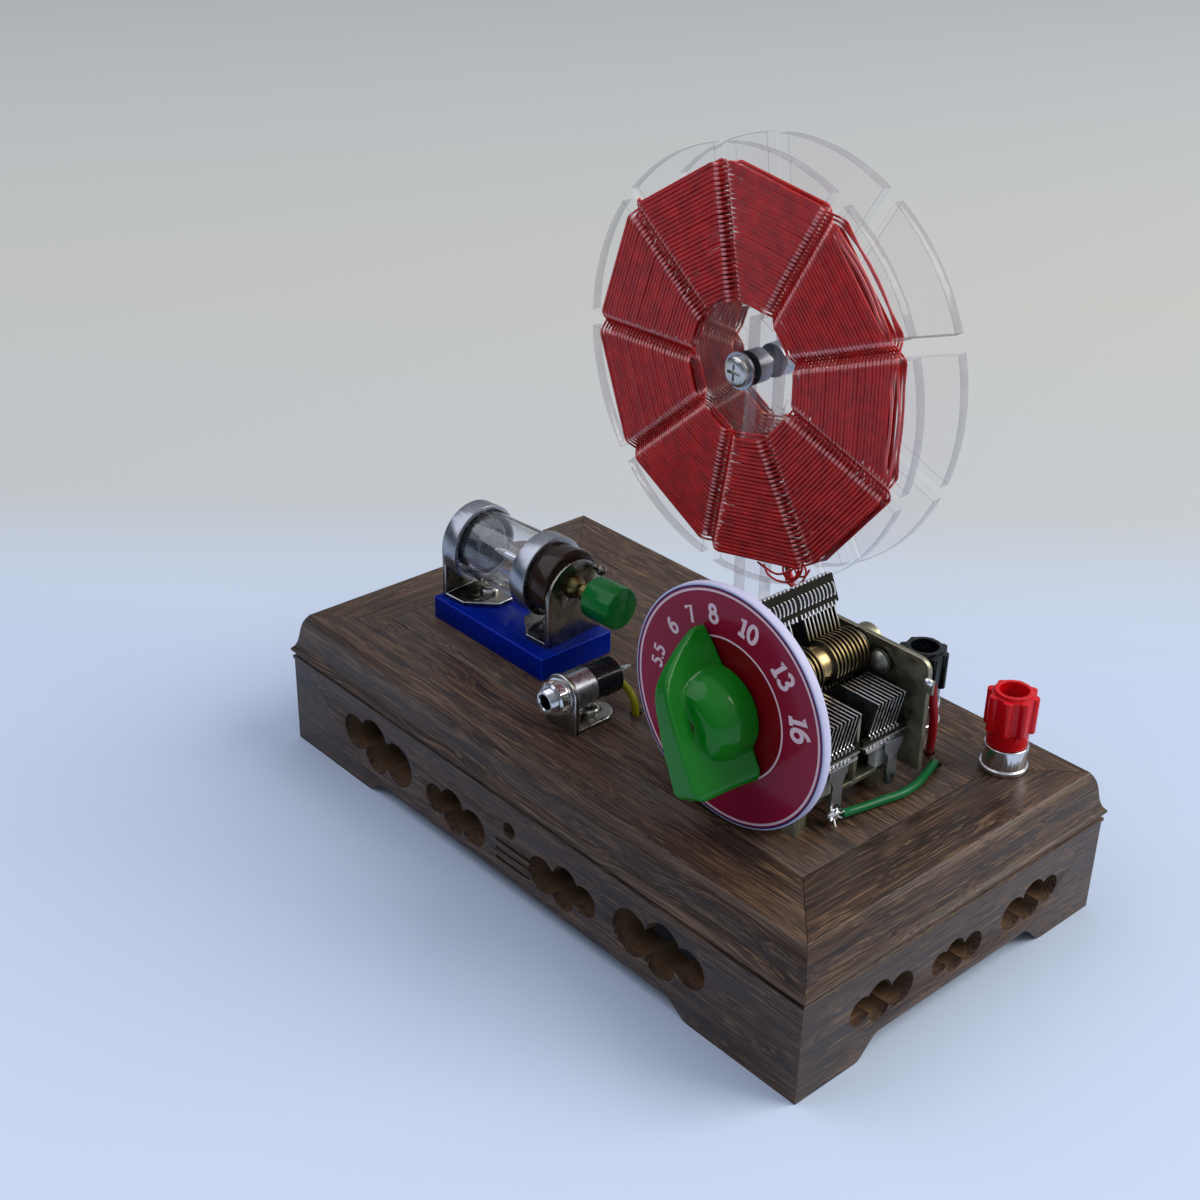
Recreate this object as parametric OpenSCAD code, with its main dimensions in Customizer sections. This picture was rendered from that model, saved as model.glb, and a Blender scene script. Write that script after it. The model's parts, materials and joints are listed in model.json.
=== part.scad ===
// Crystal radio: a carved hardwood stand with two spiderweb coils on a clear post,
// a two-gang air capacitor behind a round dial, a galena detector in a glass tube,
// a headphone jack and two binding posts. Millimetres, +Z up, front towards -Y.
// The origin is the middle of the stand's footprint on the floor.

/* [Stand] */
// Length of the stand along X
base_l = 180; // [176:1:200]
// Width of the stand along Y
base_w = 101; // [99:1:112]
// Height from the floor to the top face
base_h = 37; // [35:1:45]
// Width of a mitred top rail, from its lip to the panel
rail_w = 19; // [17:0.5:19.5]
// Height of the moulded top frame
rail_t = 11; // [10:0.5:13]
// How far the flat top is set in from the lip
top_inset = 3.9; // [3:0.1:5]
// Thickness of the aprons
apron_t = 10; // [7:0.5:12]
// Height of the long aprons' lower edge between the feet
apron_lift = 3.6; // [2:0.2:5]
// Height of the short aprons' lower edge between the feet
side_lift = 5.2; // [4.4:0.2:6]

/* [Coils] */
// Radius of a clear coil former
former_r = 50; // [48:0.5:55]
// Thickness of a former
former_t = 2.6; // [2:0.1:3]
// Number of slots in a former, always odd
slot_count = 9; // [7:2:11]
// Width of a slot
slot_w = 4; // [3.8:0.1:4.4]
// Height of the coil axis above the stand
coil_height = 78; // [70:1:90]
// Distance from the front former to the post
coil_spacer = 3.8; // [3:0.1:6]
// Turns of the front winding
front_turns = 20; // [10:1:20]
// Turns of the rear winding
rear_turns = 9; // [5:1:20]
// Diameter of the litz wire
litz_d = 0.9; // [0.7:0.05:0.9]
// Distance between neighbouring turns
litz_pitch = 1.53; // [1.32:0.01:1.55]

/* [Tuning capacitor] */
// Height of the shaft above the capacitor's bottom
shaft_height = 23.2; // [21.5:0.1:24]
// Radius of the brass shaft
shaft_r = 3; // [2.5:0.1:3.2]
// Outer radius of the rotor plates
rotor_r = 16.8; // [15.5:0.1:16.9]
// Thickness of one plate
plate_t = 0.4; // [0.3:0.05:0.5]
// Distance between two rotor plates
plate_pitch = 1.2; // [1.1:0.05:1.25]
// Rotor plates in the front gang
front_plates = 15; // [9:1:15]
// Rotor plates in the rear gang
rear_plates = 9; // [7:1:9]
// Angle of the pointer from straight up, clockwise seen from the front
tuning_angle = -24; // [-85:1:85]

/* [Dial and knob] */
// Radius of the dial
dial_r = 27; // [24:0.5:27]
// Thickness of the dial
dial_t = 2.2; // [1.5:0.1:3]
// Height of the knob's crest above its base
knob_h = 15.8; // [14:0.2:18]
// Length of the pointer from the shaft
pointer_l = 18.4; // [16:0.2:20]

/* [Detector] */
// Radius of the glass tube
tube_r = 9; // [8.4:0.1:9.2]
// Wall of the glass tube
tube_wall = 1.2; // [1:0.1:1.6]
// Turn of the detector on its block, seen from above
detector_yaw = 4; // [0:0.5:5]
// Height of the tube's axis above its block
tube_height = 13.9; // [13.6:0.1:16]
// Radius of the whisker's swivel ball
ball_r = 3; // [2.6:0.1:3.2]
// Radius of the whisker rod
whisker_r = 1; // [0.8:0.05:1.1]

/* [Jack and posts] */
// Height of the jack's axis above the stand
jack_height = 8.6; // [8.2:0.1:11]
// Radius of the jack's socket
socket_r = 1.8; // [1.7:0.05:1.9]
// Radius of the hole for a 4 mm plug
banana_r = 2.05; // [2:0.01:2.1]
// Distance between the two binding posts
post_gap = 25.2; // [19:0.2:26]

/* [Hidden] */
$fn = 64;
cut = 1;

// Colours, as the finished pieces show them
c_wood = "#4a3a35";
c_clear = [0.8, 0.85, 0.88, 0.35];
c_litz = "#8b1020";
c_steel = "#8d9088";
c_nickel = "#b9bab8";
c_alu = "#c9ccce";
c_brass = "#c2a368";
c_ceramic = "#d8dad6";
c_dial = "#6b0f24";
c_green = "#1d7a2a";
c_blue = "#0a1a9a";
c_black = "#15181c";
c_red = "#b01020";

// Fits and small sizes that many pieces share
running = 0.06;
slip = 0.1;
seat_gap = 0.3;
seam = 0.02;
clear_fit = 0.05;
m3_r = 1.5;
m4_r = 2;
screw_head_r = 2.5;
screw_head_h = 1.5;
wood_bite = 5;
sheet_t = 1.2;
top_z = base_h;

// Stand
apron_h = base_h - rail_t;
lip_z = 1.9;
lip_edge = 0.9;
edge_steps = 8;
edge_sweep = 2;
edge_turn = 0.23;
tongue_low = 3.5;
tongue_high = 7.5;
tongue_d = 4.5;
panel_gap = 0.1;
panel_t = rail_t - tongue_low;
panel_under = top_z - panel_t;
foot_front_l = 31.5;
foot_side_l = 18.5;
foot_curve = 7.5;
foot_steps = 8;
bead_z = apron_h - 1.4;
bead_out = 0.4;
face_out = 0.7;
groove_in = 1.1;

// Coils
coil_x = 2;
coil_z = top_z + coil_height;
post_w = 8.4;
post_t = 4;
post_y = 21;
post_top = 10;
front_former_y = post_y - coil_spacer - former_t;
rear_former_y = post_y + post_t + coil_spacer;
front_turn = -11.5;
rear_turn = -9;
slot_root = 14.4;
winding_start = 15.8;
winding_lift = former_t / 2 + litz_d / 2 + slip;
crossing_half = 1.3;
coil_head_r = 3.6;
coil_head_h = 1.8;
washer_t = 0.6;
coil_washer_r = 4.4;
coil_spacer_r = 4;
nut_t = 3.2;
angle_h = 19;
angle_w = 9;
angle_l = 9.5;
angle_t = 1.5;
angle_screw_z = 13;
angle_screw_place = [coil_x + post_w / 2 + angle_l - 3, post_y + post_t / 2];

// Tuning capacitor, built round the shaft's axis
tuner_x = 45.8;
tuner_lift = 5;
frame_bottom = top_z + tuner_lift;
shaft_z = frame_bottom + shaft_height;
frame_front = -28.3;
frame_back = 12;
frame_half = 19.5;
frame_rise = 4.1;
frame_corner = 3;
floor_half = 14;
bush_r = 5;
bush_flange_r = 6.5;
bush_flange_t = 1;
bush_front = frame_front - dial_t - 2.1;
nut_front = 2;
tail_r = 2;
tail_start = 9.6;
tail_end = 13.4;
tail_bush_r = 4.2;
tail_bush_end = 14.4;
rear_gang_first = -1.6;
shield_y = -4.4;
shield_t = 0.8;
shield_half = 14.2;
shield_drop = 5.2;
front_gang_last = -6.2;
hub_r = 5.2;
edge_offset = 1.6;
comb_in = 11;
comb_out = 17.2;
comb_t = 1.1;
comb_over = 0.35;
comb_join = -3.9;
sleeve_r = 4.2;
sleeve_over = 0.5;
stator_top = 3.1;
stator_half = 16.5;
stator_waist = 14.6;
stator_waist_z = 12;
stator_foot = 9;
stator_foot_z = 16.8;
stator_bore = 6.5;
ear_x = 13.7;
ear_half = 0.7;
strip_z = 14.7;
strip_t = 0.7;
strip_in = 12.4;
strip_out = 15.5;
strip_over = 0.9;
ceramic_l = 6;
ceramic_w = 4.4;
lug_t = 0.6;
lug_drop = 9.8;
lug_eye_r = 1.7;
lug_hole_r = 0.8;
rear_lug_y = 6;
front_lug_y = -11.8;
spacer_r = 3.2;
spacer_x = 10.6;
spacer_front = -19.5;
spacer_back = 6;
rivet_x = 6.6;
rivet_r = 2.5;
rivet_h = 1.3;
leaf_end_r = 2.9;
leaf_t = 0.4;
leaf_y = 9.9;

// Dial and knob
dial_front = frame_front - dial_t;
knob_gap = 0.6;
knob_base = dial_front - knob_gap;
dome_r = 10.3;
nut_recess_r = 8.4;
nut_recess = 2.2;
tail_l = 15.2;
tail_half = 7;
crest_front = 7.6;
crest_back = 14.2;
waist_h = 6;
grub_h = 4.6;

// Detector, in its own frame with the tube along X
block_l = 42.4;
block_w = 22.2;
block_t = 6;
block_x = -43.7;
block_y = -11.3;
detector_x = -45;
detector_y = -10.4;
block_top = top_z + block_t;
tube_z = block_top + tube_height;
cap_wall = 1.2;
cap_r = tube_r + cap_wall;
cap_l = 5;
cap_end = 1;
left_end = -18;
right_end = 11.5;
insulator_l = 6.3;
bracket_half = 9;
arch_drop = 2.2;
pin_y = 6.4;
pin_z = 3.2;
pin_r = 0.6;
pin_out = 2.6;
pin_ball_r = 1.3;
bracket_flange = 14;
rod_hole_r = 3.7;
ball_x = right_end + insulator_l + sheet_t / 2;
rod_in = -6;
rod_out = 34;
collar_x = 22.4;
collar_l = 3;
collar_r = 2.3;
whisker_knob_x = 25.8;
whisker_knob_l = 9;
whisker_knob_r = 5.3;
cup_r = 6.8;
cup_l = 4.5;
crystal_r = 5;
crystal_out = 2.6;
wire_r = 0.3;
bracket_screw = 11.3;

// Headphone jack
jack_x = -4;
jack_plate_y = -32.2;
jack_half = 5.2;
jack_front = -37.2;
jack_bush_r = 3;
jack_barrel_r = 4.6;
jack_barrel_end = -24.3;
jack_insulator_r = 4.4;
jack_insulator_end = -16.4;
jack_nut_r = 4;
jack_nut_t = 3.2;
jack_flange_end = -18;
jack_screw_y = -23.6;
jack_z = top_z + jack_height;

// Binding posts
post_end = 18.2;
post_back = 16.7;
red_post_x = base_l / 2 - post_end;
post_row_y = base_w / 2 - post_back;
collar_flange_r = 5.5;
collar_flange_t = 1.2;
collar_top_r = 5;
collar_h = 6.3;
spigot_r = 3.5;
spigot_l = 4;
stud_head_r = 2.9;
stud_head_h = 9.4;
insert_r = 3.9;
insert_z = 1.4;
insert_h = 6.6;
cap_gap = 0.1;
cap_h = 13.5;
cap_plain_h = 3.9;
cap_plain_r = 4.7;
cap_grip_r = 4.9;
cap_lobe_r = 1.15;
cap_lobes = 8;
cap_rim_r = 4.3;
cap_rim_h = 0.8;
cap_hole_r = 3.3;
post_washer_t = 1.2;

// Wires, their points chosen by hand along the real routes
wire_hole_r = 1.5;
wire_gap = 0.3;
wire_end = panel_under;
green_r = 1;
red_r = 1;
yellow_r = 0.9;
lead_r = 0.7;
green_hole = [61.6, 22.4];
red_hole = [57.4, 25.2];
yellow_hole = [2.4, -14.6];
lead_hole = [21.5, 25.5];
green_points = [
    [tuner_x + strip_out + lug_t + green_r, -11, top_z + 2.2],
    [62.8, -8.5, top_z + 1.6],
    [63.2, -5, top_z + 1.2],
    [64.2, 0.6, top_z + 1.1],
    [65.3, 6.2, top_z + 1.1],
    [65, 11.5, top_z + 1.1],
    [63.8, 16.5, top_z + 1.4],
    [62.4, 20.4, top_z + 1.5],
    [61.6, 22.2, top_z + 0.2],
    [green_hole[0], green_hole[1], top_z - 2],
    [green_hole[0], green_hole[1], wire_end]
];
red_points = [
    [64.8, frame_back + wire_gap + red_r, shaft_z - 3],
    [64.8, 13.8, shaft_z - 5.6],
    [65, 14.6, shaft_z - 10],
    [64.6, 15.6, shaft_z - 15.4],
    [63.2, 17.4, shaft_z - 20.4],
    [60.6, 21, top_z + 4],
    [58.2, 24.2, top_z + 1.4],
    [red_hole[0], red_hole[1], top_z - 2],
    [red_hole[0], red_hole[1], wire_end]
];
yellow_points = [
    [jack_x + 1.6, -14.9, jack_z - 2.4],
    [jack_x + 3.4, -14.4, jack_z - 3.6],
    [1.4, -14.5, top_z + 3.4],
    [2.2, -14.6, top_z + 1],
    [yellow_hole[0], yellow_hole[1], top_z - 2],
    [yellow_hole[0], yellow_hole[1], wire_end]
];
lead_points = [
    [14.4, 19.6, coil_z - 42.5],
    [15, 20.6, coil_z - 46],
    [16.4, 22, coil_z - 52],
    [17.6, 23.4, coil_z - 58],
    [19, 24.6, coil_z - 66],
    [20.6, 25.3, top_z + 5],
    [21.4, 25.5, top_z + 1],
    [lead_hole[0], lead_hole[1], top_z - 2],
    [lead_hole[0], lead_hole[1], wire_end]
];

// Points and vectors
function unit(v) = v / norm(v);
function arc_points(r, from, to, steps) = [
    for (i = [0:steps]) r * [cos(from + (to - from) * i / steps), sin(from + (to - from) * i / steps)]
];
function path_dir(path, i) = unit(path[min(i + 1, len(path) - 1)] - path[max(i - 1, 0)]);
function side_of(dir, up) = unit(up - (up * dir) * dir);

// A tube swept along points; up gives a direction for each ring to start from
module sweep(path, ups, r, sides) {
    last = len(path) - 1;
    points = [
        for (i = [0:last], k = [0:sides - 1])
            let (dir = path_dir(path, i), one = side_of(dir, ups[i]), two = cross(dir, one))
            path[i] + r * (cos(360 * k / sides) * one + sin(360 * k / sides) * two)
    ];
    walls = [
        for (i = [0:last - 1], k = [0:sides - 1], half = [0, 1])
            let (a = i * sides + k, b = i * sides + (k + 1) % sides)
            half == 0 ? [a, a + sides, b] : [b, a + sides, b + sides]
    ];
    start = [for (k = [1:sides - 2]) [0, k, k + 1]];
    end = [for (k = [1:sides - 2]) [last * sides, last * sides + k + 1, last * sides + k]];
    polyhedron(points = points, faces = concat(walls, start, end));
}

// A round wire through chosen points, smoothed by two passes of corner cutting
function cut_corners(p) = concat(
    [p[0]],
    [for (i = [0:len(p) - 2], half = [0, 1])
        if ((i > 0 || half == 1) && (i < len(p) - 2 || half == 0))
            half == 0 ? 0.75 * p[i] + 0.25 * p[i + 1] : 0.25 * p[i] + 0.75 * p[i + 1]],
    [p[len(p) - 1]]
);
module wire(points, r) {
    path = cut_corners(points);
    sweep(path, [for (p = path) [0.3, 0.9, 0.31]], r, 8);
}

// Fasteners
module pan_head(r, h) {
    steps = 5;
    profile = concat(
        [[0, 0], [r, 0]],
        [for (i = [0:steps]) [r * (1 - 0.55 * (1 - cos(90 * i / steps))), h * (0.4 + 0.6 * sin(90 * i / steps))]],
        [[0, h]]
    );
    difference() {
        rotate_extrude() polygon(profile);
        for (turn = [0, 90])
            rotate([0, 0, turn])
                translate([-0.55 * r, -0.1 * r, 0.55 * h])
                    cube([1.1 * r, 0.2 * r, h]);
    }
}
module pan_screw(r, l, head_r, head_h) {
    pan_head(head_r, head_h);
    translate([0, 0, -l])
        cylinder(r = r, h = l + head_h / 4);
}
module hex_nut(bore, flat, t) {
    difference() {
        cylinder(r = flat / sqrt(3), h = t, $fn = 6);
        translate([0, 0, -cut])
            cylinder(r = bore, h = t + 2 * cut);
    }
}
module ring(outer, inner, h) {
    difference() {
        cylinder(r = outer, h = h);
        translate([0, 0, -cut])
            cylinder(r = inner, h = h + 2 * cut);
    }
}

// Stand: mitred frame, floating panel, pierced aprons
module mitre(length, width, depth) {
    translate([0, 0, -cut])
        linear_extrude(base_h + 2 * cut)
            polygon([
                [-length / 2, -width / 2],
                [length / 2, -width / 2],
                [length / 2 - depth, -width / 2 + depth],
                [-length / 2 + depth, -width / 2 + depth]
            ]);
}
// An ogee from 0 to 1: hollow in its first part, then rounded over
function ogee(t) = t - edge_sweep * t * (1 - t) * (t - edge_turn);
module rail_section() {
    edge = [
        for (i = [0:edge_steps])
            let (t = i / edge_steps)
            [lip_edge + (top_inset - lip_edge) * ogee(t), lip_z + (rail_t - lip_z) * t]
    ];
    polygon(concat(
        [[rail_w, 0], [lip_edge / 2, 0], [0, lip_edge / 2], [0, lip_edge]],
        edge,
        [
            [rail_w, rail_t],
            [rail_w, tongue_high],
            [rail_w - tongue_d - panel_gap, tongue_high],
            [rail_w - tongue_d - panel_gap, tongue_low],
            [rail_w, tongue_low]
        ]
    ));
}
module rail(length, width) {
    intersection() {
        translate([-length / 2, -width / 2, top_z - rail_t])
            rotate([90, 0, 90])
                linear_extrude(length)
                    rail_section();
        mitre(length, width, rail_w);
    }
}
module apron_section() {
    polygon([
        [face_out, 0],
        [face_out, bead_z - 0.8],
        [bead_out, bead_z - 0.5],
        [bead_out, bead_z + 0.3],
        [groove_in, bead_z + 0.6],
        [groove_in, apron_h],
        [apron_t, apron_h],
        [apron_t, 0]
    ]);
}
// Outline of an apron: the lower edge rises from both feet in an S-curve
module apron_outline(length, foot, lift) {
    gap = length / 2 - foot;
    rise = [for (i = [0:foot_steps]) [gap - foot_curve * i / foot_steps, lift * (1 - cos(180 * i / foot_steps)) / 2]];
    polygon(concat(
        [[-length / 2, 0], [-length / 2, apron_h], [length / 2, apron_h], [length / 2, 0]],
        rise,
        [for (i = [foot_steps:-1:0]) [-rise[i][0], rise[i][1]]]
    ));
}
// One cloud-shaped opening, made of round lobes
module cloud(size, tilt) {
    rotate(tilt) {
        translate([-0.34 * size, 0.04 * size]) circle(r = 0.165 * size);
        translate([-0.07 * size, 0.09 * size]) circle(r = 0.185 * size);
        translate([0.27 * size, 0]) circle(r = 0.2 * size);
        translate([-0.04 * size, -0.07 * size]) circle(r = 0.16 * size);
        translate([-0.34 * size, -0.06 * size]) square([0.6 * size, 0.13 * size]);
    }
}
module long_fret() {
    translate([-52.5, 13.4]) cloud(29, 0);
    translate([-21.3, 10.8]) cloud(23.5, 0);
    translate([16.7, 11.6]) mirror([1, 0]) cloud(23.5, 0);
    translate([47.9, 13.4]) mirror([1, 0]) cloud(29, 0);
    translate([-1.4, 17.4]) circle(r = 2.1);
}
module short_fret() {
    for (side = [0, 1])
        mirror([side, 0])
            translate([-24.6, 13.2]) cloud(20.5, 0);
    translate([0, 11.9]) cloud(17.5, 0);
}
module carved_lines() {
    for (row = [0:2])
        translate([-6.2, face_out - cut, 7.4 + 2.5 * row])
            cube([12.4, cut + 0.9, 0.9]);
}
module apron(length, width, foot, lift) {
    difference() {
        intersection() {
            translate([-length / 2, -width / 2, 0])
                rotate([90, 0, 90])
                    linear_extrude(length)
                        apron_section();
            translate([0, -width / 2 + apron_t + cut, 0])
                rotate([90, 0, 0])
                    linear_extrude(apron_t + 2 * cut)
                        difference() {
                            apron_outline(length, foot, lift);
                            children();
                        }
            mitre(length, width, apron_t);
        }
        if (length == base_l)
            translate([0, -width / 2, 0])
                carved_lines();
    }
}
module post_holes() {
    for (x = [red_post_x, red_post_x - post_gap])
        translate([x, post_row_y, 0])
            cylinder(r = spigot_r, h = 2 * base_h);
}
module centre_panel() {
    color(c_wood)
        difference() {
            union() {
                translate([-base_l / 2 + rail_w + panel_gap, -base_w / 2 + rail_w + panel_gap, panel_under])
                    cube([
                        base_l - 2 * (rail_w + panel_gap),
                        base_w - 2 * (rail_w + panel_gap),
                        panel_t
                    ]);
                translate([
                    -base_l / 2 + rail_w - tongue_d,
                    -base_w / 2 + rail_w - tongue_d,
                    panel_under
                ])
                    cube([
                        base_l - 2 * (rail_w - tongue_d),
                        base_w - 2 * (rail_w - tongue_d),
                        tongue_high - tongue_low - panel_gap
                    ]);
            }
            for (hole = [green_hole, red_hole, yellow_hole, lead_hole])
                translate([hole[0], hole[1], panel_under - cut])
                    cylinder(r = wire_hole_r, h = panel_t + 2 * cut);
            for (at = concat(spacer_places(), [detector_place(-bracket_screw), detector_place(bracket_screw)]))
                translate([at[0], at[1], panel_under - cut])
                    cylinder(r = m3_r, h = panel_t + 2 * cut);
            for (at = [[jack_x, jack_screw_y], angle_screw_place])
                translate([at[0], at[1], top_z - wood_bite])
                    cylinder(r = m3_r, h = wood_bite + cut);
            post_holes();
        }
}
module rail_front() {
    color(c_wood) rail(base_l, base_w);
}
module rail_back() {
    color(c_wood)
        difference() {
            mirror([0, 1, 0]) rail(base_l, base_w);
            post_holes();
        }
}
module rail_left() {
    color(c_wood) rotate([0, 0, -90]) rail(base_w, base_l);
}
module rail_right() {
    color(c_wood)
        difference() {
            rotate([0, 0, 90]) rail(base_w, base_l);
            post_holes();
        }
}
module apron_front() {
    color(c_wood) apron(base_l, base_w, foot_front_l, apron_lift) long_fret();
}
module apron_back() {
    color(c_wood) rotate([0, 0, 180]) apron(base_l, base_w, foot_front_l, apron_lift) long_fret();
}
module apron_left() {
    color(c_wood) rotate([0, 0, -90]) apron(base_w, base_l, foot_side_l, side_lift) short_fret();
}
module apron_right() {
    color(c_wood) rotate([0, 0, 90]) apron(base_w, base_l, foot_side_l, side_lift) short_fret();
}

// Coils on their clear post
module along_y(x, y, z) {
    translate([x, y, z])
        rotate([-90, 0, 0])
            children();
}
module coil_post() {
    color(c_clear)
        difference() {
            translate([coil_x - post_w / 2, post_y, top_z])
                cube([post_w, post_t, coil_height + post_top]);
            along_y(coil_x, post_y - cut, coil_z)
                cylinder(r = m4_r, h = post_t + 2 * cut);
            translate([coil_x - post_w / 2 - cut, post_y + post_t / 2, top_z + angle_screw_z])
                rotate([0, 90, 0])
                    cylinder(r = m3_r, h = post_w + 2 * cut);
        }
}
module post_angle() {
    left = coil_x + post_w / 2;
    color(c_nickel)
        difference() {
            translate([left, post_y + post_t / 2 - angle_w / 2, top_z])
                union() {
                    cube([angle_t, angle_w, angle_h]);
                    cube([angle_l, angle_w, angle_t]);
                }
            translate([left - cut, post_y + post_t / 2, top_z + angle_screw_z])
                rotate([0, 90, 0])
                    cylinder(r = m3_r, h = angle_t + 2 * cut);
            translate([angle_screw_place[0], angle_screw_place[1], top_z - cut])
                cylinder(r = m3_r, h = angle_t + 2 * cut);
        }
}
// The five M3 pan-head screws: two hold the post, two the detector, one the jack
module pan_screws() {
    color(c_nickel) {
        translate([coil_x + post_w / 2 + angle_t, post_y + post_t / 2, top_z + angle_screw_z])
            rotate([0, 90, 0])
                pan_screw(m3_r, post_w + angle_t, screw_head_r, screw_head_h);
        translate([angle_screw_place[0], angle_screw_place[1], top_z + angle_t])
            pan_screw(m3_r, angle_t + wood_bite, screw_head_r, screw_head_h);
        for (at = [detector_place(-bracket_screw), detector_place(bracket_screw)])
            translate([at[0], at[1], block_top + sheet_t])
                pan_screw(m3_r, sheet_t + block_t + wood_bite, screw_head_r, screw_head_h);
        translate([jack_x, jack_screw_y, top_z + sheet_t])
            pan_screw(m3_r, sheet_t + wood_bite, screw_head_r, screw_head_h);
    }
}
module former(y, turn) {
    color(c_clear)
        along_y(coil_x, y, coil_z)
            difference() {
                cylinder(r = former_r, h = former_t);
                translate([0, 0, -cut])
                    cylinder(r = m4_r, h = former_t + 2 * cut);
                for (i = [0:slot_count - 1])
                    rotate([0, 0, turn - 90 + 360 * i / slot_count])
                        translate([slot_root, -slot_w / 2, -cut])
                            cube([former_r, slot_w, former_t + 2 * cut]);
            }
}
module former_front() {
    former(front_former_y, front_turn);
}
module former_rear() {
    former(rear_former_y, rear_turn);
}
// Radius of the winding at slot number i, counted along the wire
function winding_r(i) = winding_start + litz_pitch * i / slot_count;
// Two points for each slot: before and after the wire crosses to the other face
function winding_path(turn, turns) = [
    for (i = [0:turns * slot_count - 1], half = [-1, 1])
        let (
            r = winding_r(i),
            angle = turn + 360 * i / slot_count + half * asin(crossing_half / r),
            face = (i % 2 == 0 ? 1 : -1) * half
        )
        [r * sin(angle), face * winding_lift, r * cos(angle)]
];
// Least gap between turns: neighbours cross at the middle of each slot
front_path = winding_path(front_turn, front_turns);
function crossing_point(i) = (front_path[2 * i] + front_path[2 * i + 1]) / 2;
winding_gap = min([
    for (i = [0:slot_count * (front_turns - 1) - 1])
        norm(crossing_point(i + slot_count) - crossing_point(i)) - litz_d
]);
echo(str("least gap between turns of a winding: ", winding_gap, " mm"));
module winding(y, path) {
    color(c_litz)
        translate([coil_x, y + former_t / 2, coil_z])
            sweep(path, [for (p = path) [p[0], 0, p[2]]], litz_d / 2, 6);
}
module winding_front() {
    winding(front_former_y, front_path);
}
module winding_rear() {
    winding(rear_former_y, winding_path(rear_turn, rear_turns));
}
module coil_bolt() {
    front = front_former_y - washer_t;
    color(c_nickel)
        along_y(coil_x, front, coil_z)
            rotate([180, 0, 0])
                pan_screw(m4_r, rear_former_y + former_t + nut_t + 1.5 - front, coil_head_r, coil_head_h);
}
// A washer, two spacers and a nut, in their order along the bolt
module coil_stack() {
    color(c_alu) {
        along_y(coil_x, front_former_y - washer_t, coil_z)
            ring(coil_washer_r, m4_r, washer_t);
        along_y(coil_x, front_former_y + former_t, coil_z)
            ring(coil_spacer_r, m4_r, coil_spacer);
        along_y(coil_x, post_y + post_t, coil_z)
            ring(coil_spacer_r, m4_r, coil_spacer);
        along_y(coil_x, rear_former_y + former_t, coil_z)
            hex_nut(m4_r, 7, nut_t);
    }
}

// Tuning capacitor
function spacer_places() = [
    for (side = [-1, 1], y = [spacer_front, spacer_back]) [tuner_x + side * spacer_x, y]
];
// Places its children with Z along the shaft, from the front
module on_shaft(y) {
    along_y(tuner_x, y, shaft_z)
        children();
}
module end_plate(y) {
    top = shaft_height + frame_rise;
    translate([tuner_x, y + sheet_t, frame_bottom])
        rotate([90, 0, 0])
            linear_extrude(sheet_t)
                union() {
                    translate([-frame_half, 0])
                        square([2 * frame_half, top - frame_corner]);
                    translate([-frame_half + frame_corner, 0])
                        square([2 * (frame_half - frame_corner), top]);
                    for (side = [-1, 1])
                        translate([side * (frame_half - frame_corner), top - frame_corner])
                            circle(r = frame_corner);
                }
}
module tuner_front_plate() {
    color(c_steel)
        difference() {
            end_plate(frame_front);
            on_shaft(frame_front - cut)
                cylinder(r = bush_r, h = sheet_t + 2 * cut);
        }
}
module tuner_rear_plate() {
    rear = frame_back - sheet_t;
    color(c_steel)
        difference() {
            union() {
                end_plate(rear);
                translate([tuner_x + frame_half - 2.2, rear, shaft_z - 3.4])
                    cube([3.6, sheet_t / 2, 3.4]);
            }
            on_shaft(rear - cut)
                cylinder(r = tail_bush_r, h = sheet_t + 2 * cut);
            along_y(tuner_x + rivet_x, rear - cut, shaft_z - 1)
                cylinder(r = rivet_r / 2, h = sheet_t + 2 * cut);
        }
}
module tuner_floor() {
    color(c_steel)
        difference() {
            translate([tuner_x - floor_half, frame_front + sheet_t, frame_bottom])
                cube([2 * floor_half, frame_back - frame_front - 2 * sheet_t, sheet_t]);
            for (at = spacer_places())
                translate([at[0], at[1], frame_bottom - cut])
                    cylinder(r = m3_r, h = sheet_t + 2 * cut);
        }
}
module tuner_shield() {
    color(c_steel)
        translate([tuner_x - shield_half, shield_y, frame_bottom + sheet_t])
            cube([2 * shield_half, shield_t, shaft_height - sheet_t - shield_drop]);
}
module tuner_spacers() {
    color(c_steel)
        for (at = spacer_places())
            translate([at[0], at[1], top_z])
                ring(spacer_r, m3_r, tuner_lift);
}
module tuner_screws() {
    color(c_nickel)
        for (at = spacer_places())
            translate([at[0], at[1], panel_under])
                rotate([180, 0, 0])
                    pan_screw(m3_r, panel_t + tuner_lift + sheet_t, 2.8, 1.8);
}
module front_bush() {
    color(c_brass)
        difference() {
            union() {
                on_shaft(bush_front)
                    cylinder(r = bush_r, h = frame_front + sheet_t - bush_front + bush_flange_t);
                on_shaft(frame_front + sheet_t)
                    cylinder(r = bush_flange_r, h = bush_flange_t);
            }
            on_shaft(bush_front - cut)
                cylinder(r = shaft_r + running, h = frame_front - bush_front + sheet_t + 3 * cut);
        }
}
module rear_bearing() {
    start = frame_back - sheet_t;
    color(c_brass)
        difference() {
            on_shaft(start)
                cylinder(r = tail_bush_r, h = tail_bush_end - start);
            on_shaft(start - cut)
                cylinder(r = tail_r + running, h = tail_end + running - start + cut);
        }
}
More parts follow.
